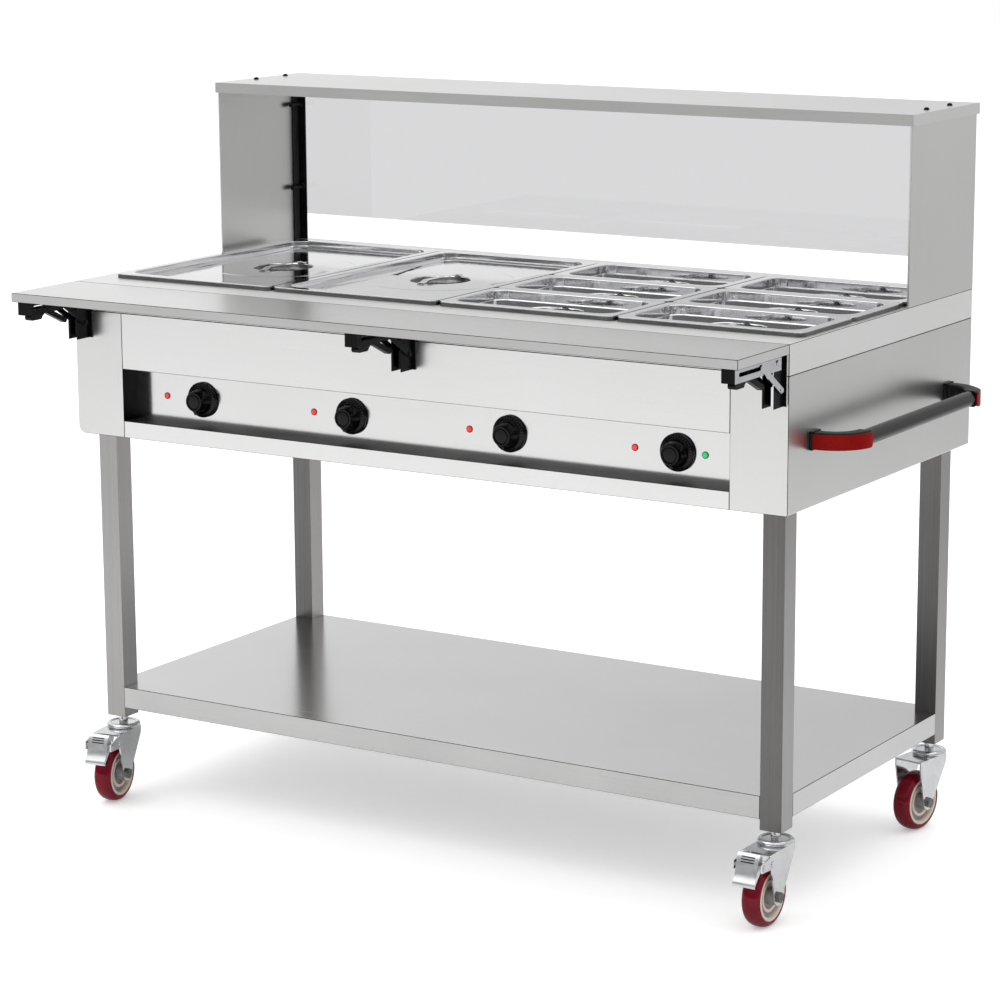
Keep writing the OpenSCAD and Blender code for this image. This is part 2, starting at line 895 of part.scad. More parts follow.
module arm_side() {
    difference() {
        translate([arm_end_y, top_z - arm_low])
            square([arm_back_y - arm_end_y, arm_low - sheet_t]);
        translate([fold_y, fold_z])
            circle(fold_pin_r + run_fit);
        capsule(slot_front_y, fold_z, slot_back_y, fold_z, slot_r);
        translate([fold_y - notch_front, top_z - arm_low - over])
            square([notch_front - notch_back, arm_low - notch_top + over]);
    }
}

module bracket_arm() {
    side_pair(arm_out_x - bracket_t, arm_out_x)
        arm_side();
    block(-arm_out_x, arm_out_x, arm_end_y, arm_web_back_y, top_z - sheet_t - bracket_t,
        top_z - sheet_t);
    block(-arm_out_x, arm_out_x, arm_end_y, arm_end_y + arm_cap_t, top_z - arm_low,
        top_z - sheet_t);
    cross_bar(-arm_out_x, arm_out_x, lever_y, lever_z, lever_pin_r);
}

module bracket_arms() color(black) placed() {
    each_bracket()
        bracket_arm();
}

module link_side() {
    difference() {
        capsule(link_y, link_z, link_top_y, fold_z, link_half);
        translate([link_y, link_z])
            circle(link_pin_r + run_fit);
    }
}

module bracket_links() color(bright) placed() {
    each_bracket()
        side_pair(link_in_x, link_out_x)
            link_side();
}

module bracket_struts() color(black) placed() {
    each_bracket()
        side_plate(-strut_half_w, strut_half_w)
            difference() {
                capsule(lever_y, lever_z, strut_y, strut_z, strut_half);
                translate([lever_y, lever_z])
                    circle(lever_pin_r + run_fit);
            }
}

module lever_arm() {
    difference() {
        union() {
            translate([lever_y, lever_z])
                circle(lever_boss_r);
            capsule(lever_y, lever_z, lever_y - lever_back, lever_z - lever_down, lever_r - bracket_t);
        }
        translate([lever_y, lever_z])
            circle(lever_pin_r + run_fit);
    }
}

module release_lever(x) {
    translate([x, 0, 0]) {
        side_pair(lever_in_x, lever_out_x)
            lever_arm();
        side_plate(-lever_out_x, lever_out_x)
            capsule(lever_y - lever_back, lever_z - lever_down, lever_y - lever_end,
                lever_z - lever_down, lever_r);
    }
}

module left_release_lever() color(black) placed() {
    release_lever(bracket_left_x);
}

module middle_release_lever() color(black) placed() {
    release_lever(bracket_middle_x);
}

module right_release_lever() color(black) placed() {
    release_lever(bracket_right_x);
}

// Controls

module knob(i) {
    skirt_y = panel_y - knob_lift;
    long_bar(skirt_y - knob_skirt_t, skirt_y, knob_x(i), knob_z, knob_d / 2);
    long_bar(panel_y - knob_out, skirt_y, knob_x(i), knob_z, grip_d / 2);
    block(knob_x(i) - pointer_w / 2, knob_x(i) + pointer_w / 2, panel_y - knob_out, skirt_y,
        knob_z - grip_d / 2 - pointer_out, knob_z);
    long_bar(skirt_y, panel_back_y + spindle_l, knob_x(i), knob_z, spindle_r);
}

module left_knob() color(black) placed() {
    knob(0);
}

module middle_left_knob() color(black) placed() {
    knob(1);
}

module middle_right_knob() color(black) placed() {
    knob(2);
}

module right_knob() color(black) placed() {
    knob(3);
}

// Pans and lids

module pan(x, y, d) {
    in_w = pan_w - 2 * rim_w;
    in_d = d - 2 * rim_w;
    translate([x, y, top_z])
        difference() {
            union() {
                linear_extrude(pan_lip_h)
                    round_rect(pan_w, d, rim_corner_r);
                translate([0, 0, pan_lip_h - pan_depth])
                    linear_extrude(pan_depth)
                        round_rect(in_w, in_d, pan_corner_r);
            }
            difference() {
                translate([0, 0, -over])
                    linear_extrude(pan_lip_h - pan_t + over)
                        round_rect(pan_w - 2 * pan_t, d - 2 * pan_t, rim_corner_r - pan_t);
                translate([0, 0, -2 * over])
                    linear_extrude(pan_lip_h + 3 * over)
                        round_rect(in_w, in_d, pan_corner_r);
            }
            translate([0, 0, pan_lip_h - pan_depth + pan_t])
                linear_extrude(pan_depth + over)
                    round_rect(in_w - 2 * pan_t, in_d - 2 * pan_t, pan_corner_r - pan_t);
        }
}

module left_pan() color(steel) placed() {
    pan(well_x(0), wells_y, pan_d);
}

module middle_pan() color(steel) placed() {
    pan(well_x(1), wells_y, pan_d);
}

module third_well_pans() color(steel) placed() {
    for (j = [0 : small_count - 1])
        pan(well_x(2), small_y(j), small_d);
}

module fourth_well_pans() color(steel) placed() {
    for (j = [0 : small_count - 1])
        pan(well_x(3), small_y(j), small_d);
}

module dish_outline(r, stretch) {
    translate([-stretch / 2, 0])
        circle(r);
    translate([stretch / 2, 0])
        circle(r);
    if (stretch > 0)
        square([stretch, 2 * r], center = true);
}

// A sunken lid: flat rim, sunken floor, finger dish and a strap over the dish
module lid(x, y, d, sink, r, stretch, round_r) {
    in_w = pan_w - 2 * rim_w - 2 * pan_t - 2 * open_gap;
    in_d = d - 2 * rim_w - 2 * pan_t - 2 * open_gap;
    low = -sink - dish_depth;
    translate([x, y, top_z + pan_lip_h]) {
        difference() {
            union() {
                linear_extrude(pan_t)
                    round_rect(pan_w, d, rim_corner_r);
                translate([0, 0, -sink])
                    linear_extrude(sink + pan_t)
                        round_rect(in_w, in_d, round_r);
                translate([0, 0, low])
                    linear_extrude(dish_depth)
                        dish_outline(r, stretch);
            }
            translate([0, 0, -sink + pan_t])
                linear_extrude(sink + pan_t)
                    round_rect(in_w - 2 * pan_t, in_d - 2 * pan_t, round_r - pan_t);
            translate([0, 0, low + pan_t])
                linear_extrude(dish_depth + pan_t)
                    dish_outline(r - pan_t, stretch);
        }
        lid_strap(r, sink);
    }
}

module lid_strap(r, sink) {
    floor_z = -sink + pan_t;
    side_plate(-strap_w / 2, strap_w / 2)
        polygon([[-r - strap_foot, floor_z], [-r, floor_z], [-r + strap_foot, floor_z + strap_rise],
            [r - strap_foot, floor_z + strap_rise], [r, floor_z], [r + strap_foot, floor_z],
            [r + strap_foot, floor_z + strap_t], [r + strap_t, floor_z + strap_t],
            [r - strap_foot + strap_t, floor_z + strap_rise + strap_t],
            [-r + strap_foot - strap_t, floor_z + strap_rise + strap_t],
            [-r - strap_t, floor_z + strap_t], [-r - strap_foot, floor_z + strap_t]]);
}

module full_lid(i) {
    lid(well_x(i), wells_y, pan_d, lid_sink, dish_r, 0, pan_corner_r);
}

module small_lid(i, j) {
    lid(well_x(i), small_y(j), small_d, small_lid_sink, small_dish_r, small_dish_stretch,
        pan_corner_r - 2 * open_gap);
}

module left_lid() color(bright) placed() {
    full_lid(0);
}

module middle_lid() color(bright) placed() {
    full_lid(1);
}

module third_well_front_lid() color(bright) placed() {
    small_lid(2, 0);
}

module third_well_middle_lid() color(bright) placed() {
    small_lid(2, 1);
}

module third_well_back_lid() color(bright) placed() {
    small_lid(2, 2);
}

module fourth_well_front_lid() color(bright) placed() {
    small_lid(3, 0);
}

module fourth_well_middle_lid() color(bright) placed() {
    small_lid(3, 1);
}

module fourth_well_back_lid() color(bright) placed() {
    small_lid(3, 2);
}

// Casters; in their own frame the wheel trails along -Y

module caster_stems() color(bright) placed() {
    for (sx = [-1, 1], sy = [-1, 1])
        translate([sx * leg_x, sy * leg_y, 0]) {
            translate([0, 0, race_z])
                cylinder(r = stem_r, h = race_drop + stem_up - rivet_gap);
            translate([0, 0, crown_z + run_fit])
                cylinder(r = race_r, h = race_t - run_fit);
            translate([0, 0, crown_z - crown_t - rivet_gap])
                cylinder(r = pin_r, h = crown_t + rivet_gap + run_fit);
            translate([0, 0, crown_z - crown_t - rivet_gap - rivet_t])
                cylinder(r = rivet_r, h = rivet_t);
        }
}

module at_caster(sx, sy, turn) {
    translate([sx * leg_x, sy * leg_y, 0])
        rotate([0, 0, turn])
            children();
}

module fork_side(brake) {
    difference() {
        union() {
            polygon([[fork_back, crown_z], [-fork_front, crown_z],
                [-fork_front, crown_z - fork_shoulder], [-trail - fork_foot_r, wheel_r],
                [-trail + fork_foot_r, wheel_r], [fork_back, crown_z - fork_shoulder]]);
            translate([-trail, wheel_r])
                circle(fork_foot_r);
            if (brake)
                polygon([[-fork_front + over, crown_z - over], [-brake_ear_end, crown_z - brake_ear_up],
                    [-brake_ear_end, crown_z - brake_ear_low],
                    [-fork_front + over, crown_z - brake_ear_low - over]]);
        }
        translate([-trail, wheel_r])
            circle(axle_r + axle_fit);
    }
}

module fork(brake) {
    difference() {
        block(-fork_half, fork_half, -fork_front, fork_back, crown_z - crown_t, crown_z);
        translate([0, 0, crown_z - crown_t - over])
            cylinder(r = pin_r + run_fit, h = crown_t + 2 * over);
    }
    side_pair(fork_half - fork_t, fork_half)
        fork_side(brake);
    cross_bar(-fork_half - axle_head_t, fork_half + axle_head_t, -trail, wheel_r, axle_r);
    for (x = [-fork_half - axle_head_t, fork_half])
        translate([x, -trail, wheel_r])
            rotate([0, 90, 0])
                cylinder(r = axle_head_r, h = axle_head_t, $fn = 6);
    if (brake) {
        for (e = [brake_e, brake_link_e]) {
            cross_bar(-fork_half, fork_half, -e, crown_z - brake_down, brake_pin_r);
            cross_bar(-fork_half - brake_head_t, -fork_half, -e, crown_z - brake_down, brake_head_r);
            cross_bar(fork_half, fork_half + brake_head_t, -e, crown_z - brake_down, brake_head_r);
        }
    }
}

module front_left_fork() color(bright) placed() {
    at_caster(-1, -1, front_left_turn)
        fork(true);
}

module front_right_fork() color(bright) placed() {
    at_caster(1, -1, front_right_turn)
        fork(true);
}

module back_left_fork() color(bright) placed() {
    at_caster(-1, 1, back_left_turn)
        fork(false);
}

module back_right_fork() color(bright) placed() {
    at_caster(1, 1, back_right_turn)
        fork(false);
}

module wheel() {
    tread = tread_w / 2;
    rim_r = wheel_r * rim_r_share;
    translate([0, -trail, wheel_r])
        rotate([0, 90, 0])
            rotate_extrude()
                polygon([[axle_r + run_fit, -hub_half], [hub_r, -hub_half], [hub_r, -web_half],
                    [rim_r, -web_half], [rim_r, -tread], [wheel_r - tread_edge, -tread],
                    [wheel_r, -tread + tread_edge], [wheel_r, tread - tread_edge],
                    [wheel_r - tread_edge, tread], [rim_r, tread], [rim_r, web_half],
                    [hub_r, web_half], [hub_r, hub_half], [axle_r + run_fit, hub_half]]);
}

module front_left_wheel() color(wine) placed() {
    at_caster(-1, -1, front_left_turn)
        wheel();
}

module front_right_wheel() color(wine) placed() {
    at_caster(1, -1, front_right_turn)
        wheel();
}

module back_left_wheel() color(wine) placed() {
    at_caster(-1, 1, back_left_turn)
        wheel();
}

module back_right_wheel() color(wine) placed() {
    at_caster(1, 1, back_right_turn)
        wheel();
}

module pedal() {
    top = [-pedal_top_e, crown_z - pedal_top_down];
    low = [-pedal_low_e, crown_z - pedal_low_down];
    along = (low - top) / norm(low - top);
    out = [along[1], -along[0]];
    half = pedal_w / 2;
    slot_z = top[1] - pedal_slot_h - 2 * pedal_t;
    difference() {
        side_plate(-half, half)
            polygon([top, low, low + out * pedal_t, top + out * pedal_t]);
        for (i = [-1 : 1])
            block(i * pedal_slot_step - pedal_slot_w / 2, i * pedal_slot_step + pedal_slot_w / 2,
                low[0], top[0] + pedal_slot_h, slot_z, slot_z + pedal_slot_h);
    }
    side_pair(half - pedal_t, half)
        difference() {
            polygon([top, low, low + [2 * pedal_t, -pedal_t], [-brake_e + 4 * pedal_t,
                crown_z - brake_down - 4 * pedal_t], [-brake_e + 4 * pedal_t, top[1] - 3 * pedal_t]]);
            translate([-brake_e, crown_z - brake_down])
                circle(brake_pin_r + run_fit);
        }
}

module front_left_pedal() color(bright) placed() {
    at_caster(-1, -1, front_left_turn)
        pedal();
}

module front_right_pedal() color(bright) placed() {
    at_caster(1, -1, front_right_turn)
        pedal();
}

deck();
left_end_panel();
right_end_panel();
front_apron();
control_panel();
lower_rail();
back_panel();
bottom_panel();
water_wells();
heating_elements();
thermostats();
pilot_lamps();
junction_box();
cable_gland();
legs();
undershelf();
left_guard_panel();
right_guard_panel();
overshelf();
guard_pane();
pane_strips();
guard_fasteners();
handle_bar();
handle_elbows();
handle_covers();
tray_shelf();
bracket_channels();
bracket_arms();
bracket_links();
bracket_struts();
left_release_lever();
middle_release_lever();
right_release_lever();
left_knob();
middle_left_knob();
middle_right_knob();
right_knob();
left_pan();
middle_pan();
third_well_pans();
fourth_well_pans();
left_lid();
middle_lid();
third_well_front_lid();
third_well_middle_lid();
third_well_back_lid();
fourth_well_front_lid();
fourth_well_middle_lid();
fourth_well_back_lid();
caster_stems();
front_left_fork();
front_right_fork();
back_left_fork();
back_right_fork();
front_left_wheel();
front_right_wheel();
back_left_wheel();
back_right_wheel();
front_left_pedal();
front_right_pedal();
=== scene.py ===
import json
import math

import bmesh
import bpy
from mathutils import Matrix, Vector


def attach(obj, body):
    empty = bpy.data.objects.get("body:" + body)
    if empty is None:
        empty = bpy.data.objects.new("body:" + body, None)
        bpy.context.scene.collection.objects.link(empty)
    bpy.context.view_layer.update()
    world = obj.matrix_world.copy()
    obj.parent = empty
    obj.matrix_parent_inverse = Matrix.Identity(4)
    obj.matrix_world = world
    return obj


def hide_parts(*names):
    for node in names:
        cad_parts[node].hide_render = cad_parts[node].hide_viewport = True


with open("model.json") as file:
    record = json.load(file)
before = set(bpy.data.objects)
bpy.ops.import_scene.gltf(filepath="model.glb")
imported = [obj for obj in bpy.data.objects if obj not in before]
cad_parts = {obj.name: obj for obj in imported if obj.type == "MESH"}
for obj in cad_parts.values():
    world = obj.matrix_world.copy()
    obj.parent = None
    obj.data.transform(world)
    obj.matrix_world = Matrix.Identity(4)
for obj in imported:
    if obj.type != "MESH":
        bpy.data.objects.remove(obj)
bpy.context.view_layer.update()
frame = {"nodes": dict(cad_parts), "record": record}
cadNodes = frame["nodes"]
bodyOf = {node: body for body, held in frame["record"]["behaviour"]["bodies"].items() for node in held}
mm = 0.001
bodyMiddle = Vector((-36.2, 72.7, 0)) * mm  # shapes are drawn from the middle of the heated body
print("frame loaded:", len(cadNodes), "nodes")


# Finishes

noiseSet = {"markDetail": 3, "markRough": 0.6, "patchDetail": 2, "low": 0.3, "high": 0.7,
            "cloudShare": 0.5, "relief": 0.2}  # nearly all of the noise lies between low and high


def linear(hexCode):
    # The colour of a hex code, as the sockets take it
    parts = [int(hexCode[i:i + 2], 16) / 255 for i in (1, 3, 5)]
    return [c / 12.92 if c <= 0.04045 else ((c + 0.055) / 1.055) ** 2.4 for c in parts] + [1]


def addNode(tree, kind, settings=None, links=None):
    # Settings go to the input of that name or number, or else to the node itself
    node = tree.nodes.new(kind)
    for key, value in (settings or {}).items():
        if isinstance(key, int) or key in node.inputs:
            node.inputs[key].default_value = value
        else:
            setattr(node, key, value)
    for key, source in (links or {}).items():
        tree.links.new(source, node.inputs[key])
    return node


def newShader(name, settings):
    material = bpy.data.materials.new(name)
    material.use_nodes = True
    shader = material.node_tree.nodes["Principled BSDF"]
    for key, value in settings.items():
        shader.inputs[key].default_value = value
    return material, material.node_tree, shader


def softPatches(tree, look, place):
    # Soft uneven patches, cloud mm across
    return addNode(tree, "ShaderNodeTexNoise",
                   {"Scale": 1 / mm / look["cloud"], "Detail": noiseSet["patchDetail"]}, {"Vector": place})


def shadeBy(tree, shader, look, toneNoise, roughNoise, low=0, high=1):
    # One noise mixes the two tones, and another, from low to high, the two roughnesses
    dark, light = linear(look["dark"]), linear(look["light"])
    smooth, dull = look["rough"]
    colour = addNode(tree, "ShaderNodeMix", {"data_type": "RGBA", 6: dark, 7: light}, {0: toneNoise})
    tree.links.new(colour.outputs[2], shader.inputs["Base Color"])
    rough = addNode(tree, "ShaderNodeMapRange",
                    {"From Min": low, "From Max": high, "To Min": smooth, "To Max": dull}, {0: roughNoise})
    tree.links.new(rough.outputs[0], shader.inputs["Roughness"])


def finish(name, look):
    # grain is the size in mm of one mark along X, Y and Z, and depth how deep it lies
    low, high = noiseSet["low"], noiseSet["high"]
    material, tree, shader = newShader(name, look["shader"])
    place = addNode(tree, "ShaderNodeTexCoord").outputs["Object"]
    laid = addNode(tree, "ShaderNodeMapping", {"Scale": [1 / mm / size for size in look["grain"]]},
                   {"Vector": place})
    marks = addNode(tree, "ShaderNodeTexNoise",
                    {"Scale": 1, "Detail": noiseSet["markDetail"], "Roughness": noiseSet["markRough"]},
                    {"Vector": laid.outputs[0]}).outputs[0]
    patches = softPatches(tree, look, place).outputs[0]
    both = addNode(tree, "ShaderNodeMix", {0: look.get("cloudShare", noiseSet["cloudShare"])},
                   {2: marks, 3: patches})
    spread = addNode(tree, "ShaderNodeMapRange", {"From Min": low, "From Max": high}, {0: both.outputs[0]})
    shadeBy(tree, shader, look, spread.outputs[0], marks, low, high)
    relief = addNode(tree, "ShaderNodeBump",
                     {"Strength": look.get("relief", noiseSet["relief"]), "Distance": look["depth"] * mm},
                     {"Height": marks})
    tree.links.new(relief.outputs[0], shader.inputs["Normal"])
    return material


def clearFinish(name, look):
    # See-through plastics; shadows and reflections pass through them as through thin plastic
    material, tree, shader = newShader(name, look["shader"])
    place = addNode(tree, "ShaderNodeTexCoord").outputs["Object"]
    haze = softPatches(tree, look, place).outputs[0]
    shadeBy(tree, shader, look, haze, haze)
    ray = addNode(tree, "ShaderNodeLightPath")
    through = addNode(tree, "ShaderNodeBsdfTransparent", {"Color": linear(look["shadow"])})
    passing = addNode(tree, "ShaderNodeMath", {"operation": "MAXIMUM"},
                      {0: ray.outputs["Is Shadow Ray"], 1: ray.outputs["Is Glossy Ray"]})
    mixed = addNode(tree, "ShaderNodeMixShader", None,
                    {0: passing.outputs[0], 1: shader.outputs[0], 2: through.outputs[0]})
    tree.links.new(mixed.outputs[0], tree.nodes["Material Output"].inputs["Surface"])
    return material


def plastic(ior, gloss=0.5):
    return {"IOR": ior, "Specular IOR Level": gloss}


def litLens(glow):
    return {"Transmission Weight": 0.2, "IOR": 1.58, "Emission Color": linear(glow),
            "Emission Strength": 0.5}


metal = {"Metallic": 1}
finishes = {
    # 304 stainless sheet, brushed along its length: so fine that it reads as a satin sheen
    "brushedSheetAcross": {
        "light": "#E6E6E6", "dark": "#E0E0DF", "rough": (0.27, 0.32), "grain": (300, 0.9, 0.9), "cloud": 300,
        "depth": 0.01, "relief": 0.05, "shader": metal},
    # the worktop: wiped and worn satin, so it hardly mirrors what stands on it
    "satinWorktop": {
        "light": "#F2F2F2", "dark": "#ECECEB", "rough": (0.44, 0.5), "grain": (300, 0.9, 0.9), "cloud": 300,
        "depth": 0.01, "relief": 0.05, "shader": metal},
    # the control panel: a finer brush, so the recess and the knobs mirror in it
    "finePanelSheet": {
        "light": "#D8D8D8", "dark": "#D2D2D1", "rough": (0.12, 0.17), "grain": (300, 0.9, 0.9), "cloud": 300,
        "depth": 0.01, "relief": 0.05, "shader": metal},
    # the same sheet, brushed upright on the ends of the body and of the guard
    "brushedSheetUpright": {
        "light": "#E0E0DF", "dark": "#D8D8D7", "rough": (0.28, 0.34), "grain": (0.9, 0.9, 300), "cloud": 320,
        "depth": 0.01, "relief": 0.05, "shader": metal},
    # the turned-down lips of the shelves: painted shade, the same sheet greyer on the faces turned to the
    # front
    "shadedLipSheet": {
        "light": "#C8C8C6", "dark": "#BABAB8", "rough": (0.28, 0.36), "grain": (240, 1.2, 1.2), "cloud": 180,
        "depth": 0.01, "relief": 0.05, "shader": metal},
    # painted shade along the eased edges: a thin dark line round each sheet and on the ribs of the brake
    # pedals
    "edgeShadeLine": {
        "light": "#161616", "dark": "#0A0A0A", "rough": (0.4, 0.55), "grain": (6, 6, 6), "cloud": 60,
        "depth": 0.01, "shader": metal},
    # painted shade: sheet at the ends of the recess and at the ends of the apron and lower rail, painted
    # near black as it only sees the dark inside of the body
    "unlitSheet": {
        "light": "#1C1C1C", "dark": "#0C0C0C", "rough": (0.3, 0.5), "grain": (3, 3, 60), "cloud": 20,
        "depth": 0.01, "shader": metal},
    # top of the lower rail and of the caster plates: painted shade, much darker and duller than the fronts
    "shadedTopSheet": {
        "light": "#8A8A8A", "dark": "#4A4A4A", "rough": (0.3, 0.45), "grain": (160, 4, 4), "cloud": 150,
        "depth": 0.01, "shader": metal},
    # stainless square tube, belt-ground lengthwise: coarser, darker lines than on the sheet
    "groundTube": {
        "light": "#B2B0AE", "dark": "#9A9896", "rough": (0.3, 0.4), "grain": (1.1, 1.1, 400), "cloud": 300,
        "depth": 0.02, "relief": 0.12, "cloudShare": 0.4, "shader": metal},
    # front faces of all legs but the front left one: painted shade, the same tube darker
    "shadedGroundTube": {
        "light": "#7C7A78", "dark": "#605E5C", "rough": (0.3, 0.4), "grain": (1.1, 1.1, 400), "cloud": 300,
        "depth": 0.02, "relief": 0.12, "cloudShare": 0.4, "shader": metal},
    # 2B stainless sheet of the undershelf: smooth and soft, with broad reflections
    "smoothShelfSheet": {
        "light": "#D6D6D6", "dark": "#CACACA", "rough": (0.16, 0.24), "grain": (120, 2.2, 2.2), "cloud": 400,
        "depth": 0.02, "relief": 0.08, "shader": metal},
    # deep-drawn stainless of the pans: satin, a little uneven from the press
    "drawnPanSteel": {
        "light": "#D2D2D2", "dark": "#C0C0C0", "rough": (0.16, 0.28), "grain": (3, 3, 3), "cloud": 60,
        "depth": 0.03, "relief": 0.15, "shader": metal},
    # turned-down edge of the pan rims: painted shade, darker and greyer than the pan
    "shadedRimEdge": {
        "light": "#747474", "dark": "#4E4E4E", "rough": (0.24, 0.36), "grain": (30, 30, 1.5), "cloud": 60,
        "depth": 0.01, "relief": 0.1, "shader": metal},
    # mirror-polished stainless of the lids: sharp reflections with a slight waviness
    "polishedLidSteel": {
        "light": "#EEEEEF", "dark": "#E4E4E6", "rough": (0.06, 0.11), "grain": (24, 24, 24), "cloud": 90,
        "depth": 0.06, "relief": 0.1, "shader": metal},
    # inside of the finger dish: painted shade, dull and dark
    "shadedDish": {
        "light": "#8C8C8D", "dark": "#4C4C4D", "rough": (0.2, 0.32), "grain": (14, 14, 14), "cloud": 30,
        "depth": 0.03, "relief": 0.1, "shader": metal},
    # nickel-alloy heater sheath: dulled and browned by heat
    "heaterSheath": {
        "light": "#6E6A66", "dark": "#55504C", "rough": (0.4, 0.6), "grain": (6, 6, 6), "cloud": 40,
        "depth": 0.05, "shader": metal},
    # bright zinc plate on pressed steel: mirror-like but soft-edged; on the outer faces of the right bracket
    # it is a painted highlight
    "zincPlateAndHighlight": {
        "light": "#E4E5E7", "dark": "#CDCED1", "rough": (0.09, 0.16), "grain": (9, 9, 9), "cloud": 40,
        "depth": 0.02, "relief": 0.08, "shader": metal},
    # the brake pedals: the same plate, softened by shoes
    "zincPedal": {
        "light": "#EAEBEC", "dark": "#D8D9DB", "rough": (0.3, 0.4), "grain": (9, 9, 9), "cloud": 40,
        "depth": 0.02, "relief": 0.08, "shader": metal},
    # dark bolt heads of the wheel axles
    "oiledBolt": {
        "light": "#8A8A8B", "dark": "#4A4A4C", "rough": (0.25, 0.4), "grain": (3, 3, 3), "cloud": 10,
        "depth": 0.02, "shader": metal},
    # black powder coat on pressed steel: fine pebbled skin with a dull shine
    "blackPowderCoat": {
        "light": "#0D0D0E", "dark": "#060607", "rough": (0.3, 0.42), "grain": (1.2, 1.2, 1.2), "cloud": 40,
        "depth": 0.06, "relief": 0.3, "shader": plastic(1.5, 0.12)},
    # the sides of the pane strips: painted sheen, the same coat lighter grey
    "stripSheen": {
        "light": "#3A3A3A", "dark": "#282828", "rough": (0.34, 0.48), "grain": (1.2, 1.2, 40), "cloud": 40,
        "depth": 0.04, "relief": 0.2, "shader": plastic(1.5, 0.2)},
    # plain steel ends of the thumb screws, turned and tumbled
    "tumbledSteel": {
        "light": "#B9B9B9", "dark": "#8F8F8F", "rough": (0.25, 0.4), "grain": (2, 2, 2), "cloud": 12,
        "depth": 0.04, "shader": metal},
    # glass-filled nylon, moulded: satin black
    "mouldedNylon": {
        "light": "#0F0F0F", "dark": "#080808", "rough": (0.34, 0.46), "grain": (1.4, 1.4, 1.4), "cloud": 30,
        "depth": 0.04, "relief": 0.3, "shader": plastic(1.53, 0.15)},
    # phenolic knob, moulded: black with a soft shine
    "mouldedPhenolic": {
        "light": "#080809", "dark": "#040405", "rough": (0.16, 0.26), "grain": (2.5, 2.5, 2.5), "cloud": 25,
        "depth": 0.03, "shader": plastic(1.6, 0.16)},
    # grey printed marks on the knob's skirt
    "markPaint": {
        "light": "#444442", "dark": "#343432", "rough": (0.4, 0.5), "grain": (1, 1, 1), "cloud": 10,
        "depth": 0.01, "shader": plastic(1.5)},
    # PVC grip skin with a fine leather-like grain
    "grainedGripSkin": {
        "light": "#0C0C0C", "dark": "#050505", "rough": (0.16, 0.26), "grain": (1.6, 1.6, 1.6), "cloud": 40,
        "depth": 0.1, "relief": 0.1, "shader": plastic(1.5, 0.3)},
    # ABS, moulded red: glossy with a slight orange peel
    "mouldedRedAbs": {
        "light": "#8C0A06", "dark": "#700705", "rough": (0.2, 0.3), "grain": (3, 3, 3), "cloud": 30,
        "depth": 0.03, "shader": plastic(1.54, 0.06)},
    # polyurethane tread, cast dark red: wet-looking gloss
    "castRedUrethane": {
        "light": "#780C22", "dark": "#5E0818", "rough": (0.08, 0.14), "grain": (8, 8, 8), "cloud": 30,
        "depth": 0.05, "shader": plastic(1.5, 0.2)},
    # polypropylene wheel core, cream ring
    "creamCore": {
        "light": "#D8CABE", "dark": "#C6B6AA", "rough": (0.3, 0.42), "grain": (4, 4, 4), "cloud": 18,
        "depth": 0.03, "shader": plastic(1.49)},
    # grey polyamide hub
    "greyHub": {
        "light": "#8E8C8A", "dark": "#72706E", "rough": (0.34, 0.46), "grain": (4, 4, 4), "cloud": 18,
        "depth": 0.04, "shader": plastic(1.53)},
    # polycarbonate lamp rims: the lens colour, deeper where the plastic is thick
    "redRim": {
        "light": "#C01E2C", "dark": "#A01422", "rough": (0.15, 0.25), "grain": (2, 2, 2), "cloud": 8,
        "depth": 0.01, "shader": plastic(1.58)},
    "greenRim": {
        "light": "#149A58", "dark": "#0C7A44", "rough": (0.15, 0.25), "grain": (2, 2, 2), "cloud": 8,
        "depth": 0.01, "shader": plastic(1.58)},
}
clearFinishes = {
    # cast acrylic pane: clear, faintly grey
    "castAcrylic": {
        "light": "#A5A5A7", "dark": "#A3A3A5", "rough": (0.0, 0.01), "cloud": 300, "shadow": "#F2F2F2",
        "shader": {"Transmission Weight": 1, "IOR": 1.49, "Specular IOR Level": 0.2}},
    # polycarbonate lamp lenses
    "redLens": {
        "light": "#F0302A", "dark": "#D81A18", "rough": (0.1, 0.2), "cloud": 4, "shadow": "#D02020",
        "shader": litLens("#FF4A44")},
    "greenLens": {
        "light": "#2FC46A", "dark": "#1FA352", "rough": (0.1, 0.2), "cloud": 4, "shadow": "#20A050",
        "shader": litLens("#30E890")},
}
made = {name: finish(name, look) for name, look in finishes.items()}
made.update({name: clearFinish(name, look) for name, look in clearFinishes.items()})
print("finishes:", len(made))


# Shaping tools

toolSet = {"pieceWeld": 0.01, "partWeld": 0.005, "flat": 0.5,
           "edgeSteps": 2, "cornerSteps": 8, "bendSteps": 5}  # welds in mm, flat in degrees
squarely = 0.7  # a face looks along an axis where its normal has at least this share of it
sides = (-1, 1)
across, outward, upward = Vector((1, 0, 0)), Vector((0, -1, 0)), Vector((0, 0, 1))


def camel(node):
    # Most pieces are named after their solid: left_pan becomes leftPan
    first, *others = node.split("_")
    return first + "".join(word.capitalize() for word in others)


def only(kind, parts):
    return [part for part in parts if isinstance(part, kind)]


def eased(bm, parts, radius, segments, affect="EDGES", clamp=False):
    bmesh.ops.bevel(bm, geom=parts, offset=radius * mm, offset_type="OFFSET", segments=segments, profile=0.5,
                    affect=affect, material=-1, clamp_overlap=clamp)


def mirrored(half):
    # The whole profile of a turned form that is alike on both sides of its middle
    return half + [(radius, -along) for radius, along in reversed(half)]


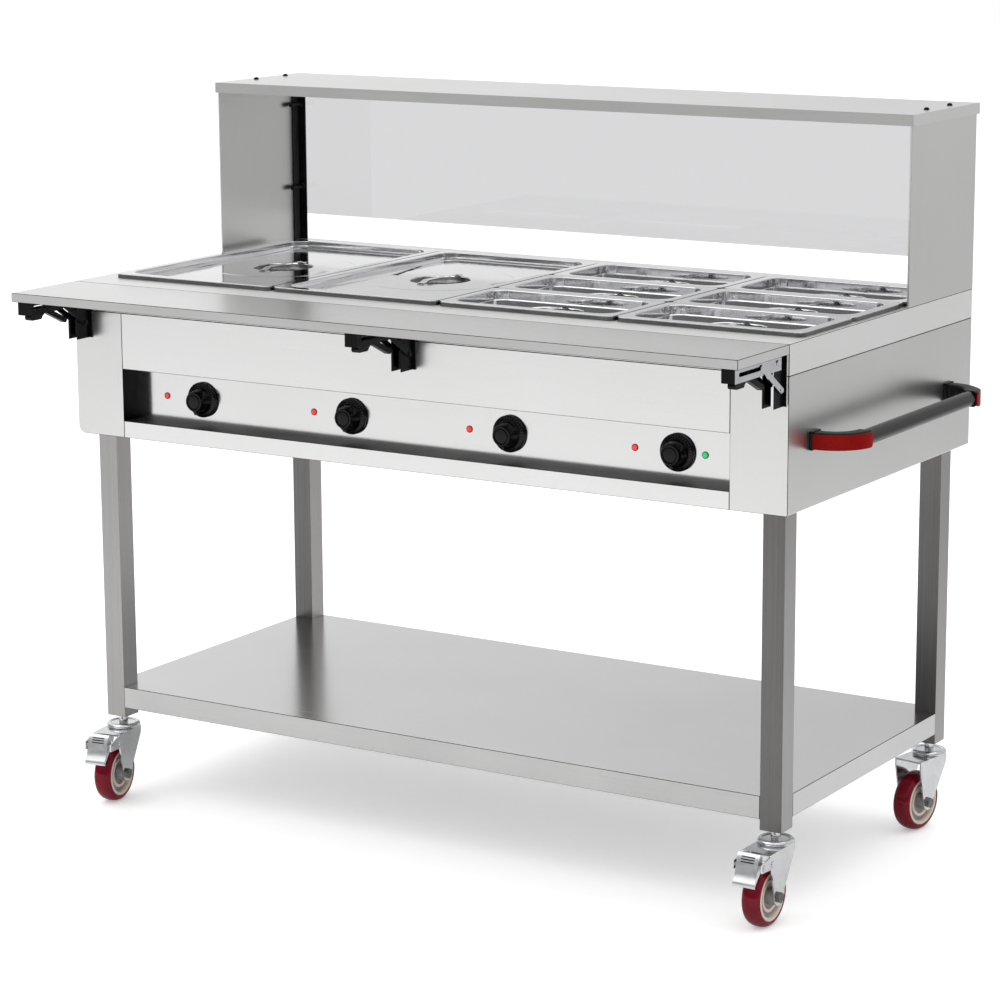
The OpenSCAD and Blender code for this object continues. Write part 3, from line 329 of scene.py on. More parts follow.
def settle(name, bm, like, materials, replaces=(), edge=0.0, sharp=35, drawn=True, foldPaint=-1):
    # Makes the finished piece: like is the solid whose body it rides on, edge its rounding in mm, and sharp
    # the turn in degrees past which an edge stays crisp; a drawn piece is moved to the body's middle
    if drawn:
        bmesh.ops.translate(bm, verts=bm.verts, vec=bodyMiddle)
    bmesh.ops.remove_doubles(bm, verts=bm.verts, dist=toolSet["pieceWeld"] * mm)
    mesh = bpy.data.meshes.new(name)
    for face in bm.faces:
        face.smooth = True
    limit = math.radians(sharp)
    for line in bm.edges:
        line.smooth = not (len(line.link_faces) == 2 and line.calc_face_angle(0) > limit)
    bm.to_mesh(mesh)
    bm.free()
    piece = bpy.data.objects.new(name, mesh)
    bpy.context.scene.collection.objects.link(piece)
    for material in materials:
        mesh.materials.append(made[material])
    if edge:
        soft = piece.modifiers.new("edge", "BEVEL")
        soft.width = edge * mm
        soft.segments = toolSet["edgeSteps"]
        soft.limit_method = "ANGLE"
        soft.angle_limit = limit
        soft.harden_normals = True
        soft.use_clamp_overlap = True
        soft.material = foldPaint
    else:
        flats = piece.modifiers.new("flats", "WEIGHTED_NORMAL")
        flats.keep_sharp = True
    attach(piece, bodyOf[like])
    if replaces:
        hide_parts(*replaces)
    return piece


def softened(node, material, edge, fold=None, shades=(), name=None):
    # The solid's own form with its edges eased; fold, where given, is the finish of the eased edges, there a
    # painted shade line, and each shade gives another finish to the faces that its test picks by direction
    # and place in mm
    bm = bmesh.new()
    bm.from_mesh(cadNodes[node].data)
    bmesh.ops.remove_doubles(bm, verts=bm.verts, dist=toolSet["partWeld"] * mm)
    bmesh.ops.dissolve_limit(bm, angle_limit=math.radians(toolSet["flat"]), verts=bm.verts, edges=bm.edges)
    materials = [material] + [other for test, other in shades]
    for face in bm.faces:
        spot = (face.calc_center_median() - bodyMiddle) / mm
        picked = [i for i, (test, other) in enumerate(shades) if test(face.normal, spot)]
        face.material_index = picked[0] + 1 if picked else 0
    foldPaint = -1
    if fold:
        foldPaint = len(materials)
        materials.append(fold)
    return settle(name or camel(node), bm, node, materials, (node,), edge, sharp=30, drawn=False,
                  foldPaint=foldPaint)


def turned(bm, centre, axis, profile, steps=48, paint=0):
    # A turned form: profile is (radius, distance along the axis) in mm
    side = across if abs(axis.z) > squarely else upward
    points = [bm.verts.new(centre + (axis * along + side * radius) * mm) for radius, along in profile]
    lines = [bm.edges.new(pair) for pair in zip(points, points[1:])]
    old = set(bm.faces)
    bmesh.ops.spin(bm, geom=points + lines, cent=centre, axis=axis, angle=2 * math.pi, steps=steps,
                   use_merge=True, use_duplicate=False)
    corners = list({v for f in bm.faces if f not in old for v in f.verts})
    bmesh.ops.remove_doubles(bm, verts=corners, dist=toolSet["partWeld"] * mm)
    new = [f for f in bm.faces if f not in old]
    bmesh.ops.recalc_face_normals(bm, faces=new)
    for face in new:
        face.material_index = paint


def slab(bm, low, high, paint=0, soft=0.0, turn=Matrix()):
    # A block between two corners in mm, turned in its place, or with its edges rounded by soft mm
    low, high = Vector(low), Vector(high)
    size = (high - low) * mm
    place = turn @ Matrix.Translation((low + high) / 2 * mm) @ Matrix.Diagonal((*size, 1))
    corners = bmesh.ops.create_cube(bm, size=1, matrix=place)["verts"]
    for face in {f for v in corners for f in v.link_faces}:
        face.material_index = paint
    if soft:
        lines = list({e for v in corners for e in v.link_edges})
        eased(bm, lines, soft, toolSet["edgeSteps"], clamp=True)


def bentStrip(bm, path, wide, thick, toward):
    # Bent sheet: a path in mm swept wide mm along X, its outer side on the whole toward a direction
    points = [bm.verts.new(Vector(place) * mm) for place in path]
    lines = [bm.edges.new(pair) for pair in zip(points, points[1:])]
    swept = bmesh.ops.extrude_edge_only(bm, edges=lines)["geom"]
    bmesh.ops.translate(bm, verts=only(bmesh.types.BMVert, swept), vec=across * wide * mm)
    sheet = only(bmesh.types.BMFace, swept)
    bmesh.ops.recalc_face_normals(bm, faces=sheet)
    facing = sum((f.normal * f.calc_area() for f in sheet), Vector())
    if facing.dot(toward) < 0:
        bmesh.ops.reverse_faces(bm, faces=sheet)
    bmesh.ops.solidify(bm, geom=sheet, thickness=thick * mm)


def pressRing(bm, centre, width, depth, radius, height):
    # A rounded rectangle standing at a height, all in mm
    old = set(bm.faces)
    place = Matrix.Translation(Vector((*centre, height)) * mm)
    place = place @ Matrix.Diagonal((width * mm, depth * mm, 1, 1))
    sheet = bmesh.ops.create_grid(bm, x_segments=1, y_segments=1, size=0.5, matrix=place)
    eased(bm, sheet["verts"], radius, toolSet["cornerSteps"], "VERTICES")
    face = [f for f in bm.faces if f not in old][0]
    return face, list(face.edges), list(face.verts)


def pressed(bm, centre, rings, wall):
    # Deep-drawn sheet: rings are (width, depth, corner radius, height, bend radius) from the rim inwards
    old = set(bm.faces)
    faces, lines, corners = zip(*[pressRing(bm, centre, *ring[:4]) for ring in rings])
    bmesh.ops.delete(bm, geom=list(faces[:-1]), context="FACES_ONLY")
    for outer, inner in zip(corners, corners[1:]):
        # corner to corner by number, because bridging by nearness twists an oblong into a round
        for i in range(len(outer)):
            j = (i + 1) % len(outer)
            bm.faces.new((outer[i], outer[j], inner[j], inner[i]))
    for edges, ring in list(zip(lines, rings))[1:]:
        if ring[4]:
            eased(bm, [e for e in edges if e.is_valid], ring[4], toolSet["bendSteps"])
    sheet = [f for f in bm.faces if f not in old]
    bmesh.ops.recalc_face_normals(bm, faces=sheet)
    lowest = min(sheet, key=lambda f: f.calc_center_median().z)
    if lowest.normal.z < 0:
        bmesh.ops.reverse_faces(bm, faces=sheet)
    bmesh.ops.solidify(bm, geom=sheet, thickness=wall * mm)


# Sheet metal of the body, the shelves and the guard

sheetSet = {"recessEnd": 640, "gapFrom": 600, "gap": 2.2}
# painted shade: faces turned to the front take the greyer lip sheet
shadedFrontLips = [(lambda facing, spot: facing.y < -squarely, "shadedLipSheet")]
# painted shade: the ends of the apron and lower rail and the ends of the recess take the near-black sheet
gapEnds = [(lambda facing, spot: abs(facing.x) > squarely, "unlitSheet")]
leftRecess = [(lambda facing, spot: facing.x > squarely and spot.x > -sheetSet["recessEnd"], "unlitSheet")]
rightRecess = [(lambda facing, spot: facing.x < -squarely and spot.x < sheetSet["recessEnd"], "unlitSheet")]
# painted shade on the top of the lower rail
shadedRailTop = [(lambda facing, spot: facing.z > squarely, "shadedTopSheet")]
sheetWork = {
    "deck": ("worktopSheet", "satinWorktop", 1.0, ()),
    "left_end_panel": ("leftEndSheet", "brushedSheetUpright", 1.4, leftRecess),
    "right_end_panel": ("rightEndSheet", "brushedSheetUpright", 1.4, rightRecess),
    "front_apron": ("apronSheet", "brushedSheetAcross", 0.9, gapEnds),
    "control_panel": ("controlPanelSheet", "finePanelSheet", 0.3, ()),
    "lower_rail": ("lowerRailSheet", "brushedSheetAcross", 0.9, gapEnds + shadedRailTop),
    "tray_shelf": ("trayShelfSheet", "brushedSheetAcross", 1.0, shadedFrontLips),
    "undershelf": ("undershelfSheet", "smoothShelfSheet", 0.9, shadedFrontLips),
    "overshelf": ("topShelfSheet", "brushedSheetAcross", 0.9, shadedFrontLips),
    "left_guard_panel": ("leftGuardSheet", "brushedSheetUpright", 0.5, ()),
    "right_guard_panel": ("rightGuardSheet", "brushedSheetUpright", 0.5, ()),
}
# every sheet gets a painted shade line along its eased edges
for node, (name, material, edge, shades) in sheetWork.items():
    piece = softened(node, material, edge, "edgeShadeLine", shades, name)
    if node in ("front_apron", "lower_rail"):
        # a dark gap shows where these two sheets end beside the columns
        for corner in piece.data.vertices:
            reach = corner.co.x - bodyMiddle.x
            if abs(reach) > sheetSet["gapFrom"] * mm:
                corner.co.x -= math.copysign(sheetSet["gap"] * mm, reach)
# painted shade on the front faces of all legs but the front left one
shadedLegFronts = [(lambda facing, spot: facing.y < -squarely and (spot.x > 0 or spot.y > 0), "shadedGroundTube")]
# painted sheen on the sides of the pane strips
sheenedStripSides = [(lambda facing, spot: abs(facing.x) > squarely, "stripSheen")]
softened("legs", "groundTube", 2.2, None, shadedLegFronts, "legTubes")
softened("guard_pane", "castAcrylic", 0.5, name="clearPane")
softened("pane_strips", "blackPowderCoat", 0.4, None, sheenedStripSides)
print("sheet metal:", len(sheetWork))


# Folding brackets under the tray shelf; the outer plates of the right one are painted bright zinc, a painted
# highlight on the black coat

# painted highlight: the outer faces of the right bracket, past these places in mm, take bright zinc
highlightSet = {"channelSide": 671.5, "channelFront": (663, -350), "arm": 669, "link": 660}


def highlitChannel(facing, spot):
    x, y = highlightSet["channelFront"]
    return spot.x > highlightSet["channelSide"] or (facing.y < -squarely and spot.x > x and spot.y < y)


def highlitArm(facing, spot):
    return spot.x > highlightSet["arm"] and facing.x > squarely


def highlitLink(facing, spot):
    return spot.x > highlightSet["link"]


bracketWork = {
    "bracket_channels": ("black_paint", "blackPowderCoat", 0.4, [(highlitChannel, "zincPlateAndHighlight")]),
    "bracket_arms": ("black_paint", "blackPowderCoat", 0.4, [(highlitArm, "zincPlateAndHighlight")]),
    "bracket_links": ("bracket_steel", "blackPowderCoat", 0.3, [(highlitLink, "zincPlateAndHighlight")]),
    "bracket_struts": ("black_paint", "blackPowderCoat", 0.8, ()),
    "left_release_lever": ("black_plastic", "mouldedNylon", 0.5, ()),
    "middle_release_lever": ("black_plastic", "mouldedNylon", 0.5, ()),
    "right_release_lever": ("black_plastic", "mouldedNylon", 0.5, ()),
}
for node, (slotName, material, edge, shades) in bracketWork.items():
    softened(node, material, edge, None, shades)
print("brackets:", len(bracketWork))


# Push handle: round bar, square-shouldered elbows and the red covers on their outer faces

handleSet = {"start": 684, "bend": 689, "ends": {-1: -250, 1: 240}, "z": 757.4, "radius": 50,
             "foot": 14.8, "footThick": 6, "footSoft": 1.5,
             "elbow": (-12.5, 12.5, -13.2, 13.2), "elbowSoft": 5, "softSteps": 4, "bendSteps": 14,
             "cover": (12.7, 15, -12.6, 11), "coverTip": 6, "coverEdge": 0.6, "tipSteps": 5, "thinEdge": 3}


def alongElbow(bm, end, section, corner=0.0, tip=0.0):
    # Sweeps an oblong from the end panel round to the bar: section is (inner, outer, bottom, top) in mm,
    # corner rounds its corners and tip the far end of a thin one; end is -1 in front
    start, bend, z = handleSet["start"], handleSet["bend"], handleSet["z"]
    y = handleSet["ends"][end]
    inner, outer, bottom, top = section
    old = set(bm.faces)
    corners = [bm.verts.new(Vector((start, y + end * out, z + up)) * mm)
               for out, up in ((inner, bottom), (outer, bottom), (outer, top), (inner, top))]
    bm.faces.new(corners)
    if corner:
        eased(bm, corners, corner, handleSet["softSteps"], "VERTICES")
    face = [f for f in bm.faces if f not in old]
    grown = bmesh.ops.extrude_face_region(bm, geom=face)["geom"]
    bmesh.ops.translate(bm, verts=only(bmesh.types.BMVert, grown), vec=across * (bend - start) * mm)
    centre = Vector((bend, y - end * handleSet["radius"], z)) * mm
    swung = bmesh.ops.spin(bm, geom=grown, cent=centre, axis=upward, angle=-end * math.pi / 2,
                           steps=handleSet["bendSteps"], use_duplicate=False)["geom_last"]
    if tip:
        short = [e for e in only(bmesh.types.BMEdge, swung) if e.calc_length() < handleSet["thinEdge"] * mm]
        eased(bm, short, tip, handleSet["tipSteps"])
    bmesh.ops.recalc_face_normals(bm, faces=[f for f in bm.faces if f not in old])


softened("handle_bar", "grainedGripSkin", 0.8)
elbows = bmesh.new()
covers = bmesh.new()
for end, y in handleSet["ends"].items():
    start, z, foot = handleSet["start"], handleSet["z"], handleSet["foot"]
    alongElbow(elbows, end, handleSet["elbow"], handleSet["elbowSoft"])
    slab(elbows, (start - handleSet["footThick"], y - foot, z - foot), (start, y + foot, z + foot),
         soft=handleSet["footSoft"])
    alongElbow(covers, end, handleSet["cover"], tip=handleSet["coverTip"])
settle("handleElbows", elbows, "handle_elbows", ["mouldedNylon"], ("handle_elbows",))
settle("handleCovers", covers, "handle_covers", ["mouldedRedAbs"], ("handle_covers",),
       handleSet["coverEdge"])
print("handle")


# Pans: rim, drawn body and floor

panSet = {"x": (-479.3, -151.1, 177.1, 505.3), "y": -4, "width": 325, "depth": 530, "smallDepth": 176,
          "smallStep": 177, "top": 914.4, "lip": 6.8, "lipGap": 0.4, "deep": 150, "rim": 11.5, "corner": 30,
          "rimCorner": 12, "wall": 1.2, "taper": 1, "rimBend": 1.8, "mouthBend": 1.6, "floorBend": 9,
          "steep": 0.5}
fullWells = {"left": 0, "middle": 1}  # wells with one large pan, numbered from the left
smallWells = {"third": 2, "fourth": 3}  # wells with three small pans in rows
rows = {"front": -1, "middle": 0, "back": 1}


def panPlace(well, row):
    # Middle of a pan in mm
    return panSet["x"][well], panSet["y"] + row * panSet["smallStep"]


def makePan(bm, place, depth):
    width, wall, taper, rimCorner = panSet["width"], panSet["wall"], panSet["taper"], panSet["rimCorner"]
    top = panSet["top"] + panSet["lip"]
    floor = top - panSet["deep"] + wall
    around = 2 * panSet["rim"] + 2 * wall
    pressed(bm, place, [
        (width, depth, rimCorner, panSet["top"] + panSet["lipGap"], 0),
        (width, depth, rimCorner, top, panSet["rimBend"]),
        (width - around + taper, depth - around + taper, panSet["corner"], top, panSet["mouthBend"]),
        (width - around, depth - around, panSet["corner"] - wall, floor, panSet["floorBend"])], wall)


pansOf = {word + "_pan": (well, (0,), panSet["depth"]) for word, well in fullWells.items()}
pansOf.update({word + "_well_pans": (well, rows.values(), panSet["smallDepth"])
               for word, well in smallWells.items()})
for node, (well, held, depth) in pansOf.items():
    bm = bmesh.new()
    for row in held:
        makePan(bm, panPlace(well, row), depth)
    for face in bm.faces:
        # the turned-down edge of the rim takes painted shade
        if abs(face.normal.z) < panSet["steep"] and face.calc_center_median().z > panSet["top"] * mm:
            face.material_index = 1
    settle(camel(node), bm, node, ["drawnPanSteel", "shadedRimEdge"], (node,))
print("pans:", len(pansOf))


# Lids: flat rim, sunken floor, finger dish and the strap over it; a large lid has a shallow step and ring

lidSet = {"wall": 1.2, "inset": 29.4, "taper": 1, "rimBend": 1.4, "floorBend": 1.2,
          "dishSlope": 8, "dishBend": 1.6, "dishFloorBend": 7, "dishDeep": 14, "nearlyRound": 0.99,
          "strapWide": 13, "strapRise": 3, "strapFoot": 9, "strapThick": 1.6, "sharp": 22, "shadeFrom": 4}
largeLid = {"depth": panSet["depth"], "sink": 9, "corner": 30, "dish": 53, "stretch": 0}
smallLid = {"depth": panSet["smallDepth"], "sink": 15.5, "corner": 26, "dish": 40, "stretch": 26}
stepSet = {"from": 42, "to": 45, "cornersLess": (6, 7), "deep": 1.1, "bend": 0.5,
           "ringFrom": 146, "ringTo": 143, "ringDeep": 0.6, "ringBend": 0.6}


def disc(width, height, bend):
    # A ring that is all but round; its sides keep 2 mm
    return width, width, width / 2 - 1, height, bend


def makeLid(bm, place, kind):
    wall, taper, around = lidSet["wall"], lidSet["taper"], lidSet["inset"] + 2 * lidSet["wall"]
    width, depth, corner, dish = panSet["width"], kind["depth"], kind["corner"], kind["dish"]
    wide, deep = width - around, depth - around
    top = panSet["top"] + panSet["lip"] + wall
    sunken = top - kind["sink"]
    rings = [
        (width, depth, panSet["rimCorner"], top, 0),
        (wide, deep, corner, top, lidSet["rimBend"]),
        (wide - taper, deep - taper, corner, sunken, lidSet["floorBend"])]
    floor = sunken
    if kind is largeLid:
        stepped, bend = floor - stepSet["deep"], stepSet["bend"]
        lessFrom, lessTo = stepSet["cornersLess"]
        floor -= stepSet["ringDeep"]
        rings += [
            (wide - stepSet["from"], deep - stepSet["from"], corner - lessFrom, sunken, bend),
            (wide - stepSet["to"], deep - stepSet["to"], corner - lessTo, stepped, bend),
            disc(2 * dish + stepSet["ringFrom"], stepped, stepSet["ringBend"]),
            disc(2 * dish + stepSet["ringTo"], floor, stepSet["ringBend"])]
    mouth, half = 2 * (dish - wall), lidSet["nearlyRound"] / 2
    foot = mouth - lidSet["dishSlope"]
    deepest = sunken - lidSet["dishDeep"]
    rings += [
        (mouth + kind["stretch"], mouth, mouth * half, floor, lidSet["dishBend"]),
        (foot + kind["stretch"], foot, foot * half, deepest, lidSet["dishFloorBend"])]
    pressed(bm, place, rings, wall)
    x, y = place
    tab, low, strapWide = lidSet["strapFoot"], sunken + lidSet["strapThick"], lidSet["strapWide"]
    path = [(dish + tab, low), (dish, low), (dish - tab, low + lidSet["strapRise"])]
    path = [(-along, height) for along, height in path] + path[::-1]
    bentStrip(bm, [(x - strapWide / 2, y + along, height) for along, height in path], strapWide,
              lidSet["strapThick"], upward)


lidsOf = {word + "_lid": (well, 0, largeLid) for word, well in fullWells.items()}
for word, well in smallWells.items():
    lidsOf.update({word + "_well_" + place + "_lid": (well, row, smallLid) for place, row in rows.items()})
for node, (well, row, kind) in lidsOf.items():
    bm = bmesh.new()
    makeLid(bm, panPlace(well, row), kind)
    # painted shade on the faces deep in the finger dish
    for face in bm.faces:
        if face.calc_center_median().z < (panSet["top"] - kind["sink"] + lidSet["shadeFrom"]) * mm:
            face.material_index = 1
    settle(camel(node), bm, node, ["polishedLidSteel", "shadedDish"], (node,),
           sharp=lidSet["sharp"])
print("lids:", len(lidsOf))


# Knobs with a skirt, a ringed grip and printed marks

frontSet = {"z": 724.9, "panel": -294.5}  # the row of knobs and lamps on the control panel
knobSet = {"x": {"left": -439.95, "middle_left": -136.65, "middle_right": 166.65, "right": 469.95},
           "skirt": 30, "grip": 18, "steps": 64, "shaft": 3, "shaftEnds": (-2, 18.5), "shaftSteps": 24,
           "pointer": 6, "pointerOut": 5, "pointerIn": 3, "pointerEnds": (6, 24), "pointerSoft": 1.2,
           "marks": 13, "markFrom": -15, "markTo": 110, "markWide": 0.8, "markUp": (24, 26.8),
           "markOut": (6.2, 6.8)}


def makeMark(bm, centre, x, number):
    # One of the strokes round the skirt, counted from the first
    y, z = frontSet["panel"], frontSet["z"]
    half, low, high = knobSet["markWide"] / 2, *knobSet["markUp"]
    near, far = knobSet["markOut"]
    span = knobSet["markTo"] - knobSet["markFrom"]
    angle = math.radians(knobSet["markFrom"] + span * number / (knobSet["marks"] - 1))
    turn = Matrix.Translation(centre) @ Matrix.Rotation(angle, 4, "Y") @ Matrix.Translation(-centre)
    slab(bm, (x - half, y - far, z + low), (x + half, y - near, z + high), 1, turn=turn)


for place, x in knobSet["x"].items():
    bm = bmesh.new()
    skirt, grip, half = knobSet["skirt"], knobSet["grip"], knobSet["pointer"] / 2
    y, z = frontSet["panel"], frontSet["z"]
    centre = Vector((x, y, z)) * mm
    turned(bm, centre, outward, [
        (0, 1), (skirt - 0.8, 1), (skirt, 1.8), (skirt, 4.2), (skirt - 1.2, 5.6), (skirt - 3, 6.4),
        (grip + 5, 7), (grip + 3.6, 8), (grip + 2.8, 10), (grip + 0.2, 22), (grip - 1, 26), (grip - 2, 27.6),
        (grip - 3.4, 28), (grip - 4.8, 27.6), (grip - 5.6, 26), (grip - 6.4, 26), (grip - 7, 27.2),
        (grip - 8, 27.6), (0, 27.7)], knobSet["steps"])
    near, far = knobSet["pointerEnds"]
    slab(bm, (x - half, y - far, z - grip - knobSet["pointerOut"]),
         (x + half, y - near, z - grip + knobSet["pointerIn"]), soft=knobSet["pointerSoft"])
    near, far = knobSet["shaftEnds"]
    turned(bm, centre, -outward, [(0, near), (knobSet["shaft"], near), (knobSet["shaft"], far), (0, far)],
           knobSet["shaftSteps"])
    for number in range(knobSet["marks"]):
        makeMark(bm, centre, x, number)
    node = place + "_knob"
    settle(camel(node), bm, node, ["mouldedPhenolic", "markPaint"], (node,))
print("knobs:", len(knobSet["x"]))


# Signal lamps: rim and domed lens of one colour, and the lamp body behind the panel

lampSet = {"besideKnob": 76, "greenX": 517.45, "rim": 5.75, "lens": 4.2, "steps": 32}
lampParts = {"redLamps": ([x - lampSet["besideKnob"] for x in knobSet["x"].values()], "redRim", "redLens"),
             "greenLamp": ([lampSet["greenX"]], "greenRim", "greenLens")}
for name, (places, rimFinish, lensFinish) in lampParts.items():
    bm = bmesh.new()
    rim, glass, steps = lampSet["rim"], lampSet["lens"], lampSet["steps"]
    for x in places:
        centre = Vector((x, frontSet["panel"], frontSet["z"])) * mm
        turned(bm, centre, outward, [
            (0, -17.5), (6.5, -17.5), (6.5, -1.5), (4.4, -1.5), (4.4, 0), (rim, 0), (rim, 1),
            (rim - 0.6, 1.7), (glass + 0.2, 1.7), (glass + 0.1, 0.8), (0, 0.8)], steps)
        turned(bm, centre, outward, [
            (0, 0.9), (glass, 0.9), (glass, 1.7), (glass * 0.85, 2.6), (glass * 0.55, 3.2),
            (0, 3.5)], steps, 1)
    settle(name, bm, "pilot_lamps", [rimFinish, lensFinish], ("pilot_lamps",))
print("lamp colours:", len(lampParts))


# Thumb screws of the pane and bolts of the top shelf

screwSet = {"x": 666, "z": (1012.4, 1165.4), "front": 321, "grip": 4.5, "gripLong": 34, "collar": 7,
            "steps": 24, "nutSteps": 6, "edge": 0.3, "boltX": 660, "boltY": (175, 265), "top": 1220.7}
screws = bmesh.new()
bolts = bmesh.new()
steps, collar = screwSet["steps"], screwSet["collar"]
grip, long = screwSet["grip"], screwSet["gripLong"]
for side in sides:
    for z in screwSet["z"]:
        centre = Vector((side * screwSet["x"], screwSet["front"], z)) * mm
        turned(screws, centre, outward, [
            (0, 0), (collar, 0), (collar, 3.6), (collar - 1, 5), (grip, 5), (grip * 0.8, 8),
            (grip * 0.8, 18), (grip, 21), (grip, long - 1.5), (grip - 1.5, long), (0, long)], steps)
        turned(screws, centre, -outward, [(0, 0), (2.5, 0), (2.5, 7), (5, 7), (5, 11), (0, 11)], steps, 1)
    for y in screwSet["boltY"]:
        centre = Vector((side * screwSet["boltX"], y, screwSet["top"])) * mm
        turned(bolts, centre, upward, [(0, 0), (4.6, 0), (4.6, 1), (3.9, 2.6), (2.2, 3.8), (0, 4)], steps)
        turned(bolts, centre, -upward, [(0, 0), (3, 0), (3, 3), (6.5, 3), (6.5, 8), (0, 8)],
               screwSet["nutSteps"])
settle("thumbScrews", screws, "guard_fasteners", ["mouldedNylon", "tumbledSteel"],
       ("guard_fasteners",), screwSet["edge"])
settle("shelfBolts", bolts, "guard_fasteners", ["blackPowderCoat"], ("guard_fasteners",),
       screwSet["edge"])
print("screws and bolts")


# Casters: stem, fork, wheel and brake pedal

casterSet = {"x": 640.95, "y": 284.35, "trail": 37, "radius": 50, "tread": 16, "shoulder": 5, "steps": 72,
             "coreSteps": 48, "plateTop": 110, "boltFrom": 27, "boltRadius": 9,
             "turn": {"front_left": 9.2, "front_right": -1.1, "back_left": 4, "back_right": -9.3}}


def stemOf(corner):
    # Place of a stem in mm, at floor height
    sideX = -1 if corner.endswith("left") else 1
    sideY = -1 if corner.startswith("front") else 1
    return Vector((sideX * casterSet["x"], sideY * casterSet["y"], 0))


def axleOf(corner):
    # Middle of a wheel in mm and the direction of its axle
    angle = math.radians(casterSet["turn"][corner])
    back = Vector((math.sin(angle), -math.cos(angle), 0))
    middle = stemOf(corner) + upward * casterSet["radius"] + back * casterSet["trail"]
    return middle, Vector((math.cos(angle), math.sin(angle), 0))


def axleBolt(facing, spot):
    # The bolt heads at both ends of the axle; middle and axle are those of the caster in hand
    away = spot - middle
    return abs(away.dot(axle)) > casterSet["boltFrom"] and away.cross(axle).length < casterSet["boltRadius"]


# painted shade on the tops of the caster plates
shadedPlateTops = [(lambda facing, spot: facing.z > squarely and spot.z < casterSet["plateTop"], "shadedTopSheet")]
softened("caster_stems", "zincPlateAndHighlight", 0.5, None, shadedPlateTops)
for corner in casterSet["turn"]:
    middle, axle = axleOf(corner)
    softened(corner + "_fork", "zincPlateAndHighlight", 0.7, None, [(axleBolt, "oiledBolt")])

# Outlines of the pedals are (distance in front of the stem, height over the fork's crown) in mm
pedalSet = {"wide": 38, "thick": 2, "raised": 5.5, "sharp": 40, "cheekIn": 1.7, "cheekThick": 1.6,
            "ribs": ((89, -5.5), (90.4, -9.5), (91.7, -13.5)),
            "ribLong": 12, "ribRadius": 0.9, "ribSteps": 10,
            "face": ((81, -1.2), (84.8, -0.6), (87.5, -3), (89.8, -8), (92.5, -16), (94.8, -24), (96.5, -31),
                     (99.2, -37), (103, -42), (105, -46), (104.4, -49.5), (101.5, -51)),
            "cheek": ((82, -2.6), (84.6, -2.2), (87, -4.6), (92, -17), (95.8, -31), (98.5, -37),
                      (102.4, -42.5), (103.6, -47), (100, -50), (76, -24), (76, -7))}
crown = max(v.co.z for v in cadNodes["front_left_fork"].data.vertices) / mm
for corner in ("front_left", "front_right"):
    bm = bmesh.new()
    half, level = pedalSet["wide"] / 2, crown + pedalSet["raised"]
    bentStrip(bm, [(-half, -front, level + up) for front, up in pedalSet["face"]],
              pedalSet["wide"], pedalSet["thick"], outward)
    for side in sides:
        inside = side * (half - pedalSet["cheekIn"])
        cheek = bm.faces.new([bm.verts.new(Vector((inside, -front, level + up)) * mm)
                              for front, up in pedalSet["cheek"]])
        if cheek.normal.x * side < 0:
            cheek.normal_flip()
        bmesh.ops.solidify(bm, geom=[cheek], thickness=pedalSet["cheekThick"] * mm)
    long, thin = pedalSet["ribLong"], pedalSet["ribRadius"]
    # the ribs take the painted shade line
    for front, up in pedalSet["ribs"]:
        turned(bm, Vector((0, -front, level + up)) * mm, across, mirrored([(0, -long), (thin, -long + 1)]),
               pedalSet["ribSteps"], 1)
    turn = Matrix.Rotation(math.radians(casterSet["turn"][corner]), 3, "Z")
    bmesh.ops.rotate(bm, verts=bm.verts, cent=(0, 0, 0), matrix=turn)
    bmesh.ops.translate(bm, verts=bm.verts, vec=stemOf(corner) * mm)
    node = corner + "_pedal"
    settle(camel(node), bm, node, ["zincPedal", "edgeShadeLine"], (node,), sharp=pedalSet["sharp"])

bm = bmesh.new()
for corner in casterSet["turn"]:
    # the raised ring of the swivel race, over the crown of the fork
    turned(bm, (stemOf(corner) + upward * crown) * mm, upward, [
        (27.8, 1.2), (29, 1.6), (29.8, 3.2), (29.4, 5), (27.6, 7), (25.2, 8), (23, 7.6), (21.6, 6.2)])
settle("swivelRings", bm, "caster_stems", ["zincPlateAndHighlight"])

for corner in casterSet["turn"]:
    middle, axle = axleOf(corner)
    centre = middle * mm
    rim, half, soft, steps = (casterSet[key] for key in ("radius", "tread", "shoulder", "steps"))
    bm = bmesh.new()
    turned(bm, centre, axle, mirrored([
        (rim * 0.78, -half + 1), (rim - soft * 1.7, -half), (rim - soft * 1.1, -half + 1),
        (rim - soft * 0.6, -half + 3), (rim - soft * 0.26, -half + 6), (rim - soft * 0.07, -half + 10),
        (rim, -2)]), steps)
    turned(bm, centre, axle, mirrored([
        (rim * 0.8, -half + 1), (rim * 0.78, -half + 0.6), (rim * 0.7, -half + 0.8),
        (rim * 0.68, -half + 2.5), (rim * 0.66, -half + 4)]), steps, 1)
    turned(bm, centre, axle, mirrored([
        (rim * 0.68, -8), (rim * 0.6, -9.5), (rim * 0.36, -8), (rim * 0.28, -9), (rim * 0.26, -19),
        (rim * 0.24, -20.4), (12, -20.4), (11.4, -23.2), (5.05, -23.2)]), steps, 2)
    for side in sides:
        turned(bm, centre, axle * side, [
            (rim * 0.53, 8.6), (rim * 0.52, 11.6), (rim * 0.46, 12.2), (rim * 0.42, 11.4),
            (rim * 0.41, 8.2)], casterSet["coreSteps"], 1)
    node = corner + "_wheel"
    settle(camel(node), bm, node, ["castRedUrethane", "creamCore", "greyHub"], (node,))
print("casters:", len(casterSet["turn"]))


# Solids that show as they are: the parts inside and behind the body

plainWork = {"back_panel": "brushedSheetAcross", "bottom_panel": "brushedSheetAcross",
             "water_wells": "drawnPanSteel", "heating_elements": "heaterSheath",
             "thermostats": "mouldedNylon", "junction_box": "mouldedNylon", "cable_gland": "mouldedNylon"}
for node, material in plainWork.items():
    piece = cadNodes[node]
    piece.data.materials.clear()
    piece.data.materials.append(made[material])
    for face in piece.data.polygons:
        face.material_index = 0
print("carried over:", len(plainWork))


# Studio: white floor and backdrop, soft lamps and the camera of the photograph

